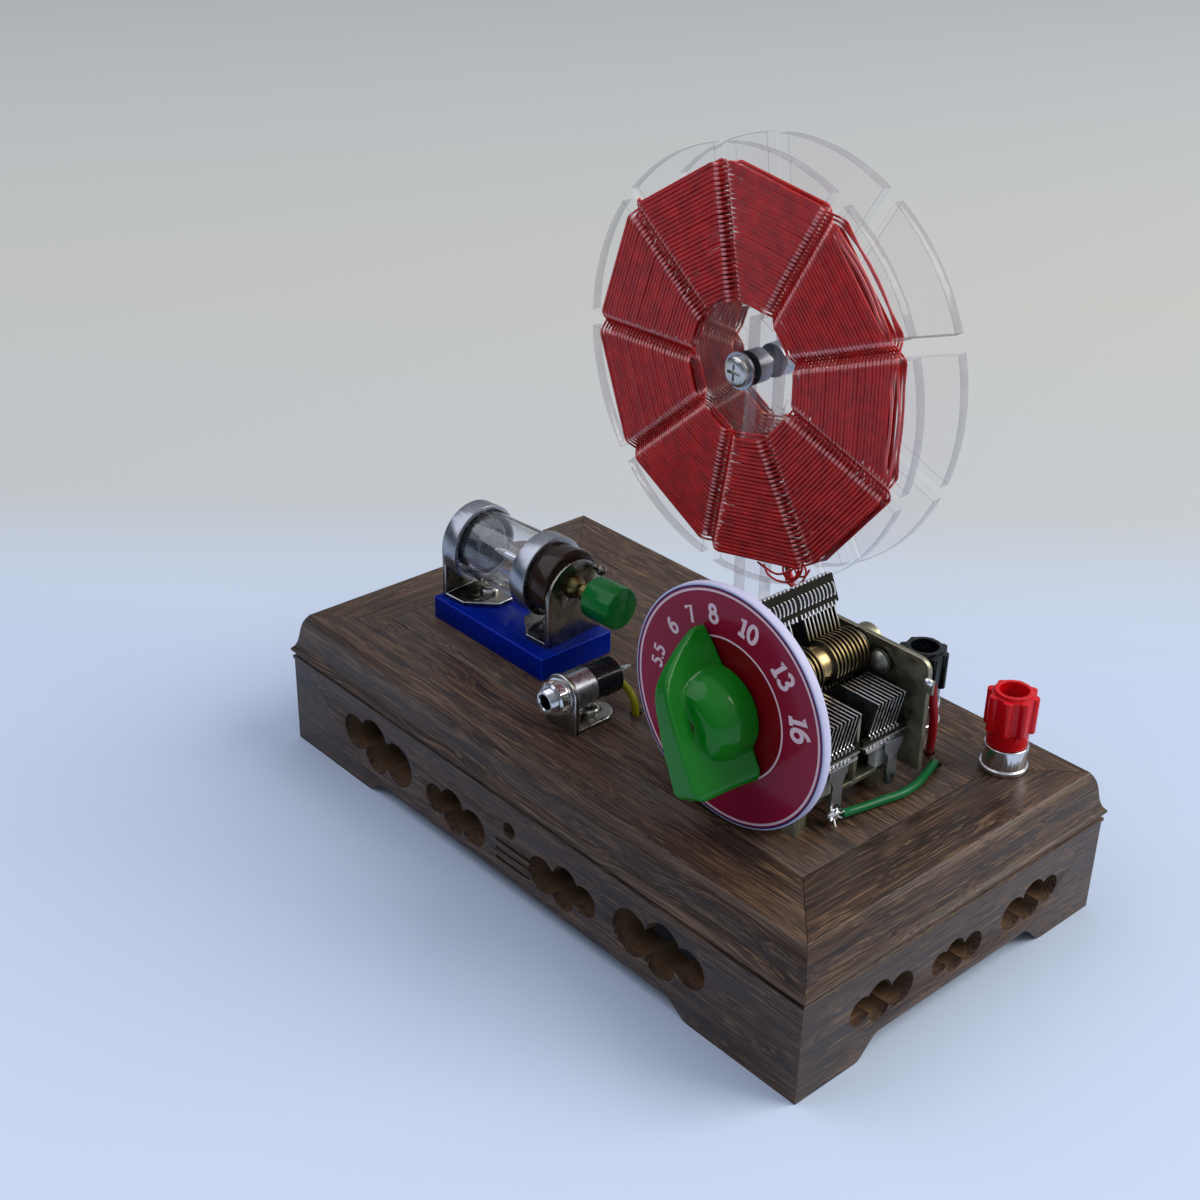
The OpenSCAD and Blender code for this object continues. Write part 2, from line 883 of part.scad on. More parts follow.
module ground_spring() {
    dome = (pow(rivet_r, 2) + pow(rivet_h, 2)) / (2 * rivet_h);
    color(c_alu) {
        translate([tuner_x, leaf_y + leaf_t, shaft_z])
            rotate([90, 0, 0])
                linear_extrude(leaf_t)
                    difference() {
                        union() {
                            circle(r = tail_r + 1.7);
                            translate([0, -2.4]) square([rivet_x, 2.4]);
                            translate([rivet_x, -1]) circle(r = leaf_end_r);
                        }
                        circle(r = tail_r + seat_gap);
                        translate([-6, -6]) square([12, 3.6]);
                    }
        along_y(tuner_x + rivet_x, leaf_y + leaf_t, shaft_z - 1)
            cylinder(r = rivet_r / 2, h = frame_back - leaf_y - leaf_t);
        along_y(tuner_x + rivet_x, leaf_y, shaft_z - 1)
            rotate([180, 0, 0])
                difference() {
                    translate([0, 0, rivet_h - dome]) sphere(r = dome);
                    translate([-2 * dome, -2 * dome, -2 * dome])
                        cube([4 * dome, 4 * dome, 2 * dome]);
                }
    }
}
// One stator plate, seen from the front with the shaft at its origin
module stator_outline() {
    difference() {
        polygon([
            [-stator_half, -stator_top],
            [-stator_waist, -stator_waist_z],
            [-stator_foot, -stator_foot_z],
            [stator_foot, -stator_foot_z],
            [stator_waist, -stator_waist_z],
            [stator_half, -stator_top]
        ]);
        circle(r = stator_bore);
    }
    for (side = [-1, 1])
        translate([side * ear_x - ear_half, -strip_z - strip_t / 2])
            square([2 * ear_half, strip_z + strip_t / 2 - stator_waist_z + 0.4]);
}
module stator_gang(first, plates) {
    last = first + (plates - 1) * plate_pitch;
    for (i = [0:plates - 2])
        translate([tuner_x, first + (i + 0.5) * plate_pitch + plate_t / 2, shaft_z])
            rotate([90, 0, 0])
                linear_extrude(plate_t)
                    stator_outline();
    for (side = [0, 1])
        translate([tuner_x, 0, 0])
            mirror([side, 0, 0])
                translate([strip_in, first - strip_over, shaft_z - strip_z - strip_t])
                    cube([strip_out - strip_in, last - first + 2 * strip_over, strip_t]);
}
front_gang_first = front_gang_last - (front_plates - 1) * plate_pitch;
module stator_front() {
    color(c_alu) stator_gang(front_gang_first, front_plates);
}
module stator_rear() {
    color(c_alu) stator_gang(rear_gang_first, rear_plates);
}
module ceramic_blocks() {
    low = frame_bottom + sheet_t;
    color(c_ceramic)
        for (side = [-1, 1], y = [front_lug_y, rear_lug_y])
            translate([tuner_x + side * (strip_in + strip_out) / 2 - ceramic_w / 2, y - ceramic_l / 2, low])
                intersection() {
                    cube([ceramic_w, ceramic_l, shaft_z - strip_z - strip_t - low]);
                    translate([-tuner_x - side * (strip_in + strip_out) / 2 + ceramic_w / 2, 0, 0])
                        translate([tuner_x - floor_half, -cut, -cut])
                            cube([2 * floor_half, ceramic_l + 2 * cut, base_h]);
                }
}
module stator_lugs() {
    top = shaft_z - strip_z;
    color(c_nickel)
        for (y = [front_lug_y, rear_lug_y])
            translate([tuner_x + strip_out, y, top])
                rotate([90, 0, 90])
                    linear_extrude(lug_t)
                        difference() {
                            union() {
                                polygon([
                                    [-3, 0],
                                    [-3, -1.6],
                                    [-1.5, -4],
                                    [-lug_eye_r, -lug_drop],
                                    [lug_eye_r, -lug_drop],
                                    [1.5, -4],
                                    [3, -1.6],
                                    [3, 0]
                                ]);
                                translate([0, -lug_drop]) circle(r = lug_eye_r);
                            }
                            translate([0, -lug_drop]) circle(r = lug_hole_r);
                        }
}
module rotor_shaft() {
    sleeve_start = front_gang_first - plate_t / 2 - sleeve_over;
    sleeve_end = rear_gang_first + (rear_plates - 1) * plate_pitch + plate_t / 2 + sleeve_over;
    color(c_brass) {
        on_shaft(knob_base - knob_h + 4)
            cylinder(r = shaft_r, h = tail_start - knob_base + knob_h - 4);
        on_shaft(tail_start - cut)
            cylinder(r = tail_r, h = tail_end - tail_start + cut);
        on_shaft(sleeve_start)
            cylinder(r = sleeve_r, h = sleeve_end - sleeve_start);
    }
}
// One rotor plate with the pointer's direction up: a half disc with a round hub
module rotor_outline() {
    difference() {
        union() {
            difference() {
                circle(r = rotor_r);
                translate([-edge_offset, -rotor_r - cut])
                    square([2 * rotor_r, 2 * (rotor_r + cut)]);
            }
            circle(r = hub_r);
        }
        circle(r = sleeve_r);
    }
}
module turned(y) {
    translate([tuner_x, y, shaft_z])
        rotate([0, tuning_angle, 0])
            rotate([90, 0, 0])
                children();
}
// A gang's plates and its comb strip, which runs along the plates' edges from low to high
module rotor_gang(first, plates, low, high) {
    for (i = [0:plates - 1])
        turned(first + i * plate_pitch + plate_t / 2)
            linear_extrude(plate_t)
                rotor_outline();
    turned(high)
        linear_extrude(high - low)
            translate([-edge_offset - 0.3, comb_in])
                square([comb_t + 0.3, comb_out - comb_in]);
}
module rotor_front() {
    color(c_alu)
        rotor_gang(front_gang_first, front_plates, front_gang_first - plate_t / 2 - comb_over, comb_join);
}
module rotor_rear() {
    last = rear_gang_first + (rear_plates - 1) * plate_pitch;
    color(c_alu)
        rotor_gang(rear_gang_first, rear_plates, comb_join, last + plate_t / 2 + comb_over);
}

// Dial and pointer knob
module dial() {
    color(c_dial)
        difference() {
            on_shaft(dial_front)
                cylinder(r = dial_r, h = dial_t);
            on_shaft(dial_front - cut)
                cylinder(r = bush_r, h = dial_t + 2 * cut);
        }
}
module dial_nut() {
    color(c_brass)
        on_shaft(dial_front - nut_front)
            hex_nut(bush_r, 14, nut_front);
}
// Flat outline across the bar at one height, from the pointer's tip to the tail
module bar_slice(h, front, front_half, back, back_half) {
    translate([0, 0, h])
        linear_extrude(0.2)
            polygon([
                [-back_half, -back],
                [back_half, -back],
                [front_half, front],
                [-front_half, front]
            ]);
}
module tuning_knob() {
    color(c_green)
        translate([tuner_x, knob_base, shaft_z])
            rotate([0, tuning_angle, 0])
                rotate([90, 0, 0])
                    difference() {
                        union() {
                            hull() {
                                bar_slice(knob_h - 0.2, crest_front, 2, crest_back, 3.2);
                                bar_slice(waist_h, pointer_l - 3.4, 1.8, tail_l - 0.4, 4.6);
                            }
                            hull() {
                                bar_slice(waist_h, pointer_l - 3.4, 1.8, tail_l - 0.4, 4.6);
                                bar_slice(0, pointer_l, 0.8, tail_l, tail_half);
                            }
                            rotate_extrude()
                                polygon(concat(
                                    [[0, 0], [dome_r, 0], [dome_r, 2.5]],
                                    [for (i = [1:6]) [dome_r - 4 * (1 - cos(15 * i)), 2.5 + 10 * sin(15 * i)]],
                                    [[0, 12.5]]
                                ));
                        }
                        translate([0, 0, -cut])
                            cylinder(r = nut_recess_r, h = nut_recess + cut);
                        cylinder(r = shaft_r, h = knob_h - 4);
                        translate([0, 0, grub_h])
                            rotate([90, 0, 0])
                                cylinder(r = m3_r, h = tail_l + cut);
                    }
}
module knob_grub_screw() {
    color(c_nickel)
        translate([tuner_x, knob_base, shaft_z])
            rotate([0, tuning_angle, 0])
                rotate([90, 0, 0])
                    translate([0, -shaft_r, grub_h])
                        rotate([90, 0, 0])
                            difference() {
                                cylinder(r = m3_r, h = 6);
                                translate([0, 0, 4.6])
                                    cylinder(r = 0.9, h = 2, $fn = 6);
                            }
}

// Detector: a glass tube between two brackets on a block
module at_detector() {
    translate([detector_x, detector_y, tube_z])
        rotate([0, 0, detector_yaw])
            children();
}
function detector_place(x) = [
    detector_x + x * cos(detector_yaw),
    detector_y + x * sin(detector_yaw)
];
// Places its children with Z along the tube, at x from the detector's middle
module on_tube(x) {
    at_detector()
        translate([x, 0, 0])
            rotate([0, 90, 0])
                children();
}
module detector_block() {
    color(c_blue)
        difference() {
            translate([block_x - block_l / 2, block_y - block_w / 2, top_z])
                cube([block_l, block_w, block_t]);
            for (at = [detector_place(-bracket_screw), detector_place(bracket_screw)])
                translate([at[0], at[1], top_z - cut])
                    cylinder(r = m3_r, h = block_t + 2 * cut);
        }
}
// A bent bracket: an arched upright at x, and a flange towards the middle
module bracket(x, inward) {
    base = -tube_height;
    at_detector()
        translate([x, 0, 0]) {
            rotate([90, 0, 90])
                linear_extrude(sheet_t)
                    union() {
                        translate([-bracket_half, base])
                            square([2 * bracket_half, tube_height - arch_drop]);
                        translate([0, -arch_drop]) circle(r = bracket_half);
                    }
            translate([0, 0, base])
                linear_extrude(sheet_t)
                    polygon([
                        [inward > 0 ? 0 : sheet_t, -bracket_half],
                        [inward > 0 ? 0 : sheet_t, bracket_half],
                        [inward * 7 + sheet_t / 2, bracket_half],
                        [inward * bracket_flange + sheet_t / 2, 3],
                        [inward * bracket_flange + sheet_t / 2, -3],
                        [inward * 7 + sheet_t / 2, -bracket_half]
                    ]);
        }
}
module flange_holes() {
    for (at = [detector_place(-bracket_screw), detector_place(bracket_screw)])
        translate([at[0], at[1], block_top - cut])
            cylinder(r = m3_r, h = sheet_t + 2 * cut);
}
module bracket_left() {
    color(c_nickel)
        difference() {
            bracket(left_end - sheet_t, 1);
            flange_holes();
        }
}
module bracket_right() {
    color(c_nickel)
        difference() {
            bracket(right_end + insulator_l, -1);
            flange_holes();
            on_tube(ball_x)
                sphere(r = ball_r + running);
        }
    color(c_nickel)
        at_detector()
            translate([right_end + insulator_l, pin_y, pin_z])
                rotate([0, 90, 0]) {
                    cylinder(r = pin_r, h = sheet_t + pin_out);
                    translate([0, 0, sheet_t + pin_out]) sphere(r = pin_ball_r);
                }
}
// A cap whose closed end is at end_x and whose open rim is at rim_x
module tube_cap(end_x, rim_x) {
    difference() {
        on_tube(min(end_x, rim_x))
            cylinder(r = cap_r, h = cap_l);
        on_tube(end_x < rim_x ? end_x + cap_end : rim_x - cut)
            cylinder(r = tube_r, h = cap_l - cap_end + cut);
    }
}
module tube_cap_left() {
    color(c_nickel) tube_cap(left_end, left_end + cap_l);
}
module tube_cap_right() {
    color(c_nickel)
        difference() {
            tube_cap(right_end, right_end - cap_l);
            on_tube(right_end - cap_l - cut)
                cylinder(r = rod_hole_r, h = cap_l + 2 * cut);
        }
}
module glass_tube() {
    length = right_end - left_end - 2 * cap_end;
    color(c_clear)
        on_tube(left_end + cap_end)
            ring(tube_r, tube_r - tube_wall, length);
}
module insulator() {
    color(c_black)
        on_tube(right_end)
            ring(tube_r, rod_hole_r, insulator_l);
}
module crystal_cup() {
    color(c_brass)
        difference() {
            on_tube(left_end + cap_end)
                cylinder(r = cup_r, h = cup_l);
            on_tube(left_end + cap_end + 1.5)
                cylinder(r = crystal_r, h = cup_l);
        }
}
module crystal() {
    color("#3c4248")
        intersection() {
            on_tube(left_end + cap_end + 1.5)
                cylinder(r = crystal_r, h = cup_l - 1.5 + crystal_out);
            on_tube(left_end + cap_end + cup_l)
                intersection() {
                    rotate([24, 10, 15]) cube(9.4, center = true);
                    rotate([-18, 30, 50]) cube(9.8, center = true);
                }
        }
}
module swivel_ball() {
    color(c_brass)
        difference() {
            on_tube(ball_x)
                sphere(r = ball_r);
            on_tube(ball_x - ball_r - cut)
                cylinder(r = whisker_r + running, h = 2 * (ball_r + cut));
        }
}
module whisker_collar() {
    color(c_brass)
        on_tube(collar_x)
            ring(collar_r, whisker_r + running, collar_l);
}
module whisker_arm() {
    tip = left_end + cap_end + cup_l + crystal_out + seat_gap;
    color(c_nickel) {
        on_tube(rod_in)
            cylinder(r = whisker_r, h = rod_out - rod_in);
        on_tube(rod_in - 1.6)
            cylinder(r1 = wire_r, r2 = whisker_r, h = 1.7);
        on_tube(tip)
            cylinder(r = wire_r, h = rod_in - 1 - tip);
    }
}
module whisker_knob() {
    color("#0f6b34")
        on_tube(whisker_knob_x)
            difference() {
                intersection() {
                    cylinder(r = whisker_knob_r, h = whisker_knob_l, $fn = 12);
                    cylinder(r1 = whisker_knob_r - 0.4 + 18, r2 = whisker_knob_r - 0.5, h = whisker_knob_l);
                }
                translate([0, 0, -cut])
                    cylinder(r = whisker_r, h = rod_out - whisker_knob_x + cut);
            }
}

// Headphone jack on its bracket
module on_jack(y) {
    along_y(jack_x, y, jack_z)
        children();
}
module jack_body() {
    color(c_nickel)
        difference() {
            union() {
                on_jack(jack_front)
                    cylinder(r = jack_bush_r, h = jack_barrel_end - jack_front);
                on_jack(jack_plate_y + sheet_t)
                    cylinder(r = jack_barrel_r, h = jack_barrel_end - jack_plate_y - sheet_t);
                on_jack(jack_plate_y - jack_nut_t)
                    cylinder(r = jack_nut_r, h = jack_nut_t);
            }
            on_jack(jack_front - cut)
                cylinder(r = socket_r, h = jack_barrel_end - jack_front + 2 * cut);
        }
    color(c_black)
        difference() {
            on_jack(jack_barrel_end + seam)
                cylinder(r = jack_insulator_r, h = jack_insulator_end - jack_barrel_end - seam);
            on_jack(jack_barrel_end - cut)
                cylinder(r = socket_r, h = 4 + cut);
        }
    color(c_nickel)
        for (side = [-1, 1])
            translate([jack_x + side * 2.2 - 1.1, jack_insulator_end + seam, jack_z + 0.8 + side * 1.2])
                cube([2.2, 3.2, 0.6]);
}
module jack_bracket() {
    color(c_nickel)
        difference() {
            union() {
                translate([jack_x, jack_plate_y + sheet_t, top_z])
                    rotate([90, 0, 0])
                        linear_extrude(sheet_t)
                            union() {
                                translate([-jack_half, 0]) square([2 * jack_half, jack_height]);
                                translate([0, jack_height]) circle(r = jack_half);
                            }
                translate([jack_x, 0, top_z])
                    linear_extrude(sheet_t)
                        union() {
                            translate([-jack_half, jack_plate_y])
                                square([2 * jack_half, jack_flange_end - jack_half - jack_plate_y]);
                            translate([0, jack_flange_end - jack_half]) circle(r = jack_half);
                        }
            }
            on_jack(jack_plate_y - cut)
                cylinder(r = jack_bush_r, h = sheet_t + 2 * cut);
            translate([jack_x, jack_screw_y, top_z - cut])
                cylinder(r = m3_r, h = sheet_t + 2 * cut);
        }
}

// Binding posts
module post_hardware(x, shade) {
    translate([x, post_row_y, top_z]) {
        color(c_nickel)
            difference() {
                union() {
                    cylinder(r = collar_flange_r, h = collar_flange_t);
                    cylinder(r = collar_top_r, h = collar_h);
                    translate([0, 0, -spigot_l])
                        cylinder(r = spigot_r, h = spigot_l + cut);
                }
                translate([0, 0, -spigot_l - cut])
                    cylinder(r = m4_r + clear_fit, h = spigot_l + collar_h + 2 * cut);
            }
        color(c_brass)
            difference() {
                union() {
                    translate([0, 0, -rail_t - post_washer_t - nut_t - 2])
                        cylinder(r = m4_r, h = rail_t + post_washer_t + nut_t + 2 + collar_h + cut);
                    translate([0, 0, collar_h + seam])
                        cylinder(r = stud_head_r, h = stud_head_h - seam);
                }
                translate([0, 0, collar_h + 0.8])
                    cylinder(r = banana_r, h = stud_head_h);
            }
        color(shade)
            translate([0, 0, -rail_t - post_washer_t])
                ring(collar_flange_r, m4_r + clear_fit, post_washer_t);
        color(c_nickel)
            translate([0, 0, -rail_t - post_washer_t - seam - nut_t])
                hex_nut(m4_r + clear_fit, 7, nut_t);
    }
}
module post_cap(x, shade) {
    grip_h = cap_h - cap_plain_h - cap_rim_h;
    translate([x, post_row_y, top_z + collar_h + cap_gap])
        color(shade)
            difference() {
                union() {
                    cylinder(r = cap_plain_r, h = cap_plain_h + 0.1);
                    translate([0, 0, cap_plain_h])
                        linear_extrude(grip_h)
                            union() {
                                circle(r = cap_grip_r);
                                for (i = [0:cap_lobes - 1])
                                    rotate(360 * (i + 0.5) / cap_lobes)
                                        translate([cap_grip_r - 0.2, 0])
                                            circle(r = cap_lobe_r);
                            }
                    translate([0, 0, cap_h - cap_rim_h - 0.1])
                        cylinder(r = cap_rim_r, h = cap_rim_h + 0.1);
                }
                translate([0, 0, -cut])
                    cylinder(r = cap_hole_r, h = cap_h + 2 * cut);
                translate([0, 0, insert_z - running])
                    cylinder(r = insert_r + running, h = insert_h + 2 * running);
            }
}
// The brass insert that the cap is moulded round; it screws up and down the stud
module post_insert(x) {
    translate([x, post_row_y, top_z + collar_h + cap_gap + insert_z])
        color(c_brass)
            ring(insert_r, stud_head_r + running, insert_h);
}
module red_post() {
    post_hardware(red_post_x, c_red);
}
module black_post() {
    post_hardware(red_post_x - post_gap, c_black);
}
module red_insert() {
    post_insert(red_post_x);
}
module black_insert() {
    post_insert(red_post_x - post_gap);
}
module red_cap() {
    post_cap(red_post_x, c_red);
}
module black_cap() {
    post_cap(red_post_x - post_gap, c_black);
}

// Wires that run from the terminals down through the panel
module wiring() {
    color("#1f7a50") wire(green_points, green_r);
    color(c_litz) wire(red_points, red_r);
    color("#8a9a20") wire(yellow_points, yellow_r);
    color(c_litz) wire(lead_points, lead_r);
}

centre_panel();
rail_front();
rail_back();
rail_left();
rail_right();
apron_front();
apron_back();
apron_left();
apron_right();
coil_post();
post_angle();
pan_screws();
former_front();
former_rear();
winding_front();
winding_rear();
coil_bolt();
coil_stack();
tuner_front_plate();
tuner_rear_plate();
tuner_floor();
tuner_shield();
tuner_spacers();
tuner_screws();
front_bush();
rear_bearing();
ground_spring();
stator_front();
stator_rear();
ceramic_blocks();
stator_lugs();
rotor_shaft();
rotor_front();
rotor_rear();
dial();
dial_nut();
tuning_knob();
knob_grub_screw();
detector_block();
bracket_left();
bracket_right();
tube_cap_left();
tube_cap_right();
glass_tube();
insulator();
crystal_cup();
crystal();
swivel_ball();
whisker_collar();
whisker_arm();
whisker_knob();
jack_body();
jack_bracket();
red_post();
black_post();
red_insert();
black_insert();
red_cap();
black_cap();
wiring();
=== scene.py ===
import json
import math
import random

import bmesh
import bpy
from mathutils import Matrix, Vector


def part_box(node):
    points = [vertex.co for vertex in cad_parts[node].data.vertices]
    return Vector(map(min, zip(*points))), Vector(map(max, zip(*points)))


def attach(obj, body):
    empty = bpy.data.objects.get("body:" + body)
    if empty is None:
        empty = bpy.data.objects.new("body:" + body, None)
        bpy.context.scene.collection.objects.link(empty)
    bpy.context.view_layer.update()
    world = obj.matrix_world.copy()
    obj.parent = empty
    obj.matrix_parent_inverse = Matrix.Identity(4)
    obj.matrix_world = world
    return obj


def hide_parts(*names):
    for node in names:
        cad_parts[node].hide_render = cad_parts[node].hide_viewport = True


mm = 0.001
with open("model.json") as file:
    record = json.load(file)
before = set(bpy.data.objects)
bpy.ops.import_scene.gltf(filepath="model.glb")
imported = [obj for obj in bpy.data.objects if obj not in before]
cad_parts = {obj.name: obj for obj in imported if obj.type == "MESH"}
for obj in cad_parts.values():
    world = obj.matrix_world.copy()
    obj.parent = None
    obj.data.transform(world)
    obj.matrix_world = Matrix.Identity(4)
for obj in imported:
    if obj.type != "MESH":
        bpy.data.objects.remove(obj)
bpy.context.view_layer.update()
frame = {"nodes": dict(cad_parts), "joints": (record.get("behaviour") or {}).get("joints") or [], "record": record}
nodes = frame["nodes"]
joints = {joint["name"]: joint for joint in frame["joints"]}
bodies = frame["record"]["behaviour"]["bodies"]
bodyOf = {node: body for body, members in bodies.items() for node in members}
print("frame loaded:", len(nodes), "nodes")


# Camera, at the place that the photograph was taken from
camera = {
    "azimuth": 47.7488,
    "elevation": 28.2267,
    "roll": 1.2806,
    "place": Vector((261.18, -261.74, 258.80)) * mm,
    "lens": 53.846,
    "sensor": 36,
}


def addCamera():
    azimuth = math.radians(camera["azimuth"])
    elevation = math.radians(camera["elevation"])
    roll = math.radians(camera["roll"])
    ahead = Vector((
        -math.sin(azimuth) * math.cos(elevation),
        math.cos(azimuth) * math.cos(elevation),
        -math.sin(elevation),
    ))
    level = ahead.cross(Vector((0, 0, 1))).normalized()
    upright = level.cross(ahead)
    right = level * math.cos(roll) + upright * math.sin(roll)
    up = upright * math.cos(roll) - level * math.sin(roll)
    turn = Matrix((right, up, -ahead)).transposed().to_4x4()
    data = bpy.data.cameras.new("camera")
    data.lens = camera["lens"]
    data.sensor_width = camera["sensor"]
    data.sensor_height = camera["sensor"]
    data.clip_start = 0.01
    data.clip_end = 60
    eye = bpy.data.objects.new("camera", data)
    eye.matrix_world = Matrix.Translation(camera["place"]) @ turn
    bpy.context.scene.collection.objects.link(eye)
    bpy.context.scene.camera = eye


addCamera()
print("camera placed")


# Materials
def linear(hexColour):
    values = []
    for start in (1, 3, 5):
        value = int(hexColour[start:start + 2], 16) / 255
        values.append(value / 12.92 if value <= 0.04045 else ((value + 0.055) / 1.055) ** 2.4)
    return (*values, 1.0)


def scaleOf(width):
    # The Scale of a pattern whose grains are this many millimetres wide
    return 1 / (width * mm)


# What most nodes of a kind are set to. A noise's values lie mostly between 0.3 and 0.7, and a mix of
# colours has its factor and inputs at 0, 6 and 7
usual = {
    "TexNoise": {"Roughness": 0.55},
    "MapRange": {"From Min": 0.3, "From Max": 0.7},
    "Mix": {"data_type": "RGBA"},
}


def addNode(tree, kind, settings=None, links=None):
    # A setting is an input, a property or a ramp's stops. A link's source is a socket, or a node,
    # which stands for its first output in use
    node = tree.nodes.new("ShaderNode" + kind)
    for name, value in {**usual.get(kind, {}), **(settings or {})}.items():
        if name == "stops":
            elements = node.color_ramp.elements
            while len(elements) < len(value):
                elements.new(0.5)
            for element, (spot, shade) in zip(elements, value):
                element.position = spot
                element.color = linear(shade) if isinstance(shade, str) else (shade, shade, shade, 1)
        elif isinstance(name, int) or name in node.inputs:
            node.inputs[name].default_value = linear(value) if isinstance(value, str) else value
        else:
            setattr(node, name, value)
    for name, source in (links or {}).items():
        if isinstance(source, bpy.types.Node):
            source = next(socket for socket in source.outputs if socket.enabled)
        tree.links.new(source, node.inputs[name])
    return node


def startMaterial(name):
    # A new material, its node tree, and the surface's own coordinates in metres
    material = bpy.data.materials.new(name)
    material.use_nodes = True
    tree = material.node_tree
    tree.nodes.clear()
    return material, tree, addNode(tree, "TexCoord").outputs["Object"]


def coverWith(tree, settings, links):
    shader = addNode(tree, "BsdfPrincipled", settings, links)
    addNode(tree, "OutputMaterial", links={"Surface": shader})


wenge = {
    "dark": "#150c06",
    "body": "#3b2a1e",
    "warm": "#573e2c",
    "streak": "#947658",
    "cloud": "#5a4840",
    "carved": "#705841",
    # Width in millimetres, detail and roughness of each layer of the grain
    "layers": {"bands": (2.4, 3, 0.6), "lines": (0.4, 2, 0.6), "pores": (0.26, 1, 0.5)},
    "drawn": 60,
    "figure": 9,
    "figureDrawn": 6,
    "sway": 7,
    "cloudWidth": 30,
    "relief": 0.12,
}


def wengeWood(name, grain, carved=None):
    # Oiled wenge, planed and carved: dark pores in parallel lines with tan streaks between them
    material, tree, spot = startMaterial(name)
    figureScale = [1 / wenge["figureDrawn"] if axis == grain else 1 for axis in range(3)]
    grainScale = [1 / wenge["drawn"] if axis == grain else 1 for axis in range(3)]
    slow = addNode(tree, "Mapping", {"Scale": figureScale}, {"Vector": spot})
    drift = addNode(
        tree,
        "TexNoise",
        {"Scale": scaleOf(wenge["figure"]), "Detail": 2},
        {"Vector": slow},
    )
    centred = addNode(tree, "VectorMath", {"operation": "SUBTRACT", 1: (0.5, 0.5, 0.5)}, {0: drift})
    pushed = addNode(
        tree,
        "VectorMath",
        {"operation": "SCALE", "Scale": wenge["sway"] * mm},
        {0: centred},
    )
    bent = addNode(tree, "VectorMath", {"operation": "ADD"}, {0: spot, 1: pushed})
    drawn = addNode(tree, "Mapping", {"Scale": grainScale}, {"Vector": bent})
    layers = {}
    for layer, (width, detail, roughness) in wenge["layers"].items():
        layers[layer] = addNode(
            tree,
            "TexNoise",
            {"Scale": scaleOf(width), "Detail": detail, "Roughness": roughness},
            {"Vector": drawn},
        )
    lines = layers["lines"]
    pores = layers["pores"]
    clouds = addNode(
        tree,
        "TexNoise",
        {"Scale": scaleOf(wenge["cloudWidth"]), "Detail": 2},
        {"Vector": spot},
    )
    ground = addNode(
        tree,
        "ValToRGB",
        {"stops": [(0.34, wenge["dark"]), (0.52, wenge["body"]), (0.72, wenge["warm"])]},
        {"Fac": layers["bands"]},
    )
    streaks = addNode(tree, "ValToRGB", {"stops": [(0.5, 0.0), (0.66, 1.0)]}, {"Fac": lines})
    dashes = addNode(tree, "ValToRGB", {"stops": [(0.38, 1.0), (0.47, 0.0)]}, {"Fac": pores})
    streaked = addNode(tree, "Mix", {7: wenge["streak"]}, {0: streaks, 6: ground})
    weak = addNode(tree, "Mix", {0: 0.5}, {6: ground, 7: streaked})
    grainy = addNode(tree, "Mix", {7: wenge["dark"]}, {0: dashes, 6: weak})
    cloudy = addNode(tree, "Mix", {0: 0.3, 7: wenge["cloud"]}, {6: grainy})
    tinted = addNode(tree, "Mix", links={0: clouds, 6: grainy, 7: cloudy})
    if carved:
        # Inside the carving the cut wood is duller and yellower than the oiled face
        axis, start, end = carved
        split = addNode(tree, "SeparateXYZ", links={"Vector": spot})
        depth = addNode(
            tree,
            "MapRange",
            {"From Min": start, "From Max": end},
            {"Value": split.outputs[axis]},
        )
        cut = addNode(tree, "Mix", {0: 0.7, 7: wenge["carved"]}, {6: grainy})
        tinted = addNode(tree, "Mix", links={0: depth, 6: tinted, 7: cut})
    rough = addNode(tree, "MapRange", {"To Min": 0.36, "To Max": 0.58}, {"Value": lines})
    relief = addNode(tree, "Mix", {0: 0.5}, {6: lines, 7: pores})
    uneven = addNode(
        tree,
        "Bump",
        {"Strength": 0.7, "Distance": wenge["relief"] * mm},
        {"Height": relief},
    )
    coverWith(
        tree,
        {"Specular IOR Level": 0.3, "Coat Weight": 0.1, "Coat Roughness": 0.3},
        {"Base Color": tinted, "Roughness": rough, "Normal": uneven},
    )
    return material


def clearSheet(name, colour, ior, gloss, coatIor=1.49, wave=0.01):
    # Cast acrylic or drawn glass. Its wall is too thin to bend the view, so its IOR is near 1 under a
    # coat with about the real one, and only gloss and handling marks show
    material, tree, spot = startMaterial(name)
    marks = addNode(tree, "TexNoise", {"Scale": scaleOf(6), "Detail": 4}, {"Vector": spot})
    wavy = addNode(tree, "Bump", {"Strength": 0.3, "Distance": wave * mm}, {"Height": marks})
    coverWith(
        tree,
        {
            "Base Color": colour,
            "Transmission Weight": 1.0,
            "IOR": ior,
            "Roughness": 0.0,
            "Coat Weight": gloss,
            "Coat Roughness": 0.04,
            "Coat IOR": coatIor,
        },
        {"Normal": wavy},
    )
    return material


def clearEdge(name, colour, paleReflection):
    # The sawn and flame-polished edge of a clear sheet, half see-through: its mauve-grey with paler patches is a
    # painted reflection, and the coat gives bright glints
    material, tree, spot = startMaterial(name)
    marks = addNode(tree, "TexNoise", {"Scale": scaleOf(4), "Detail": 3}, {"Vector": spot})
    shade = addNode(tree, "Mix", {6: colour, 7: paleReflection}, {0: marks})
    uneven = addNode(tree, "Bump", {"Strength": 0.5, "Distance": 0.03 * mm}, {"Height": marks})
    coverWith(
        tree,
        {"Alpha": 0.44, "Roughness": 0.2, "IOR": 1.49, "Coat Weight": 0.5, "Coat Roughness": 0.06},
        {"Base Color": shade, "Normal": uneven},
    )
    return material


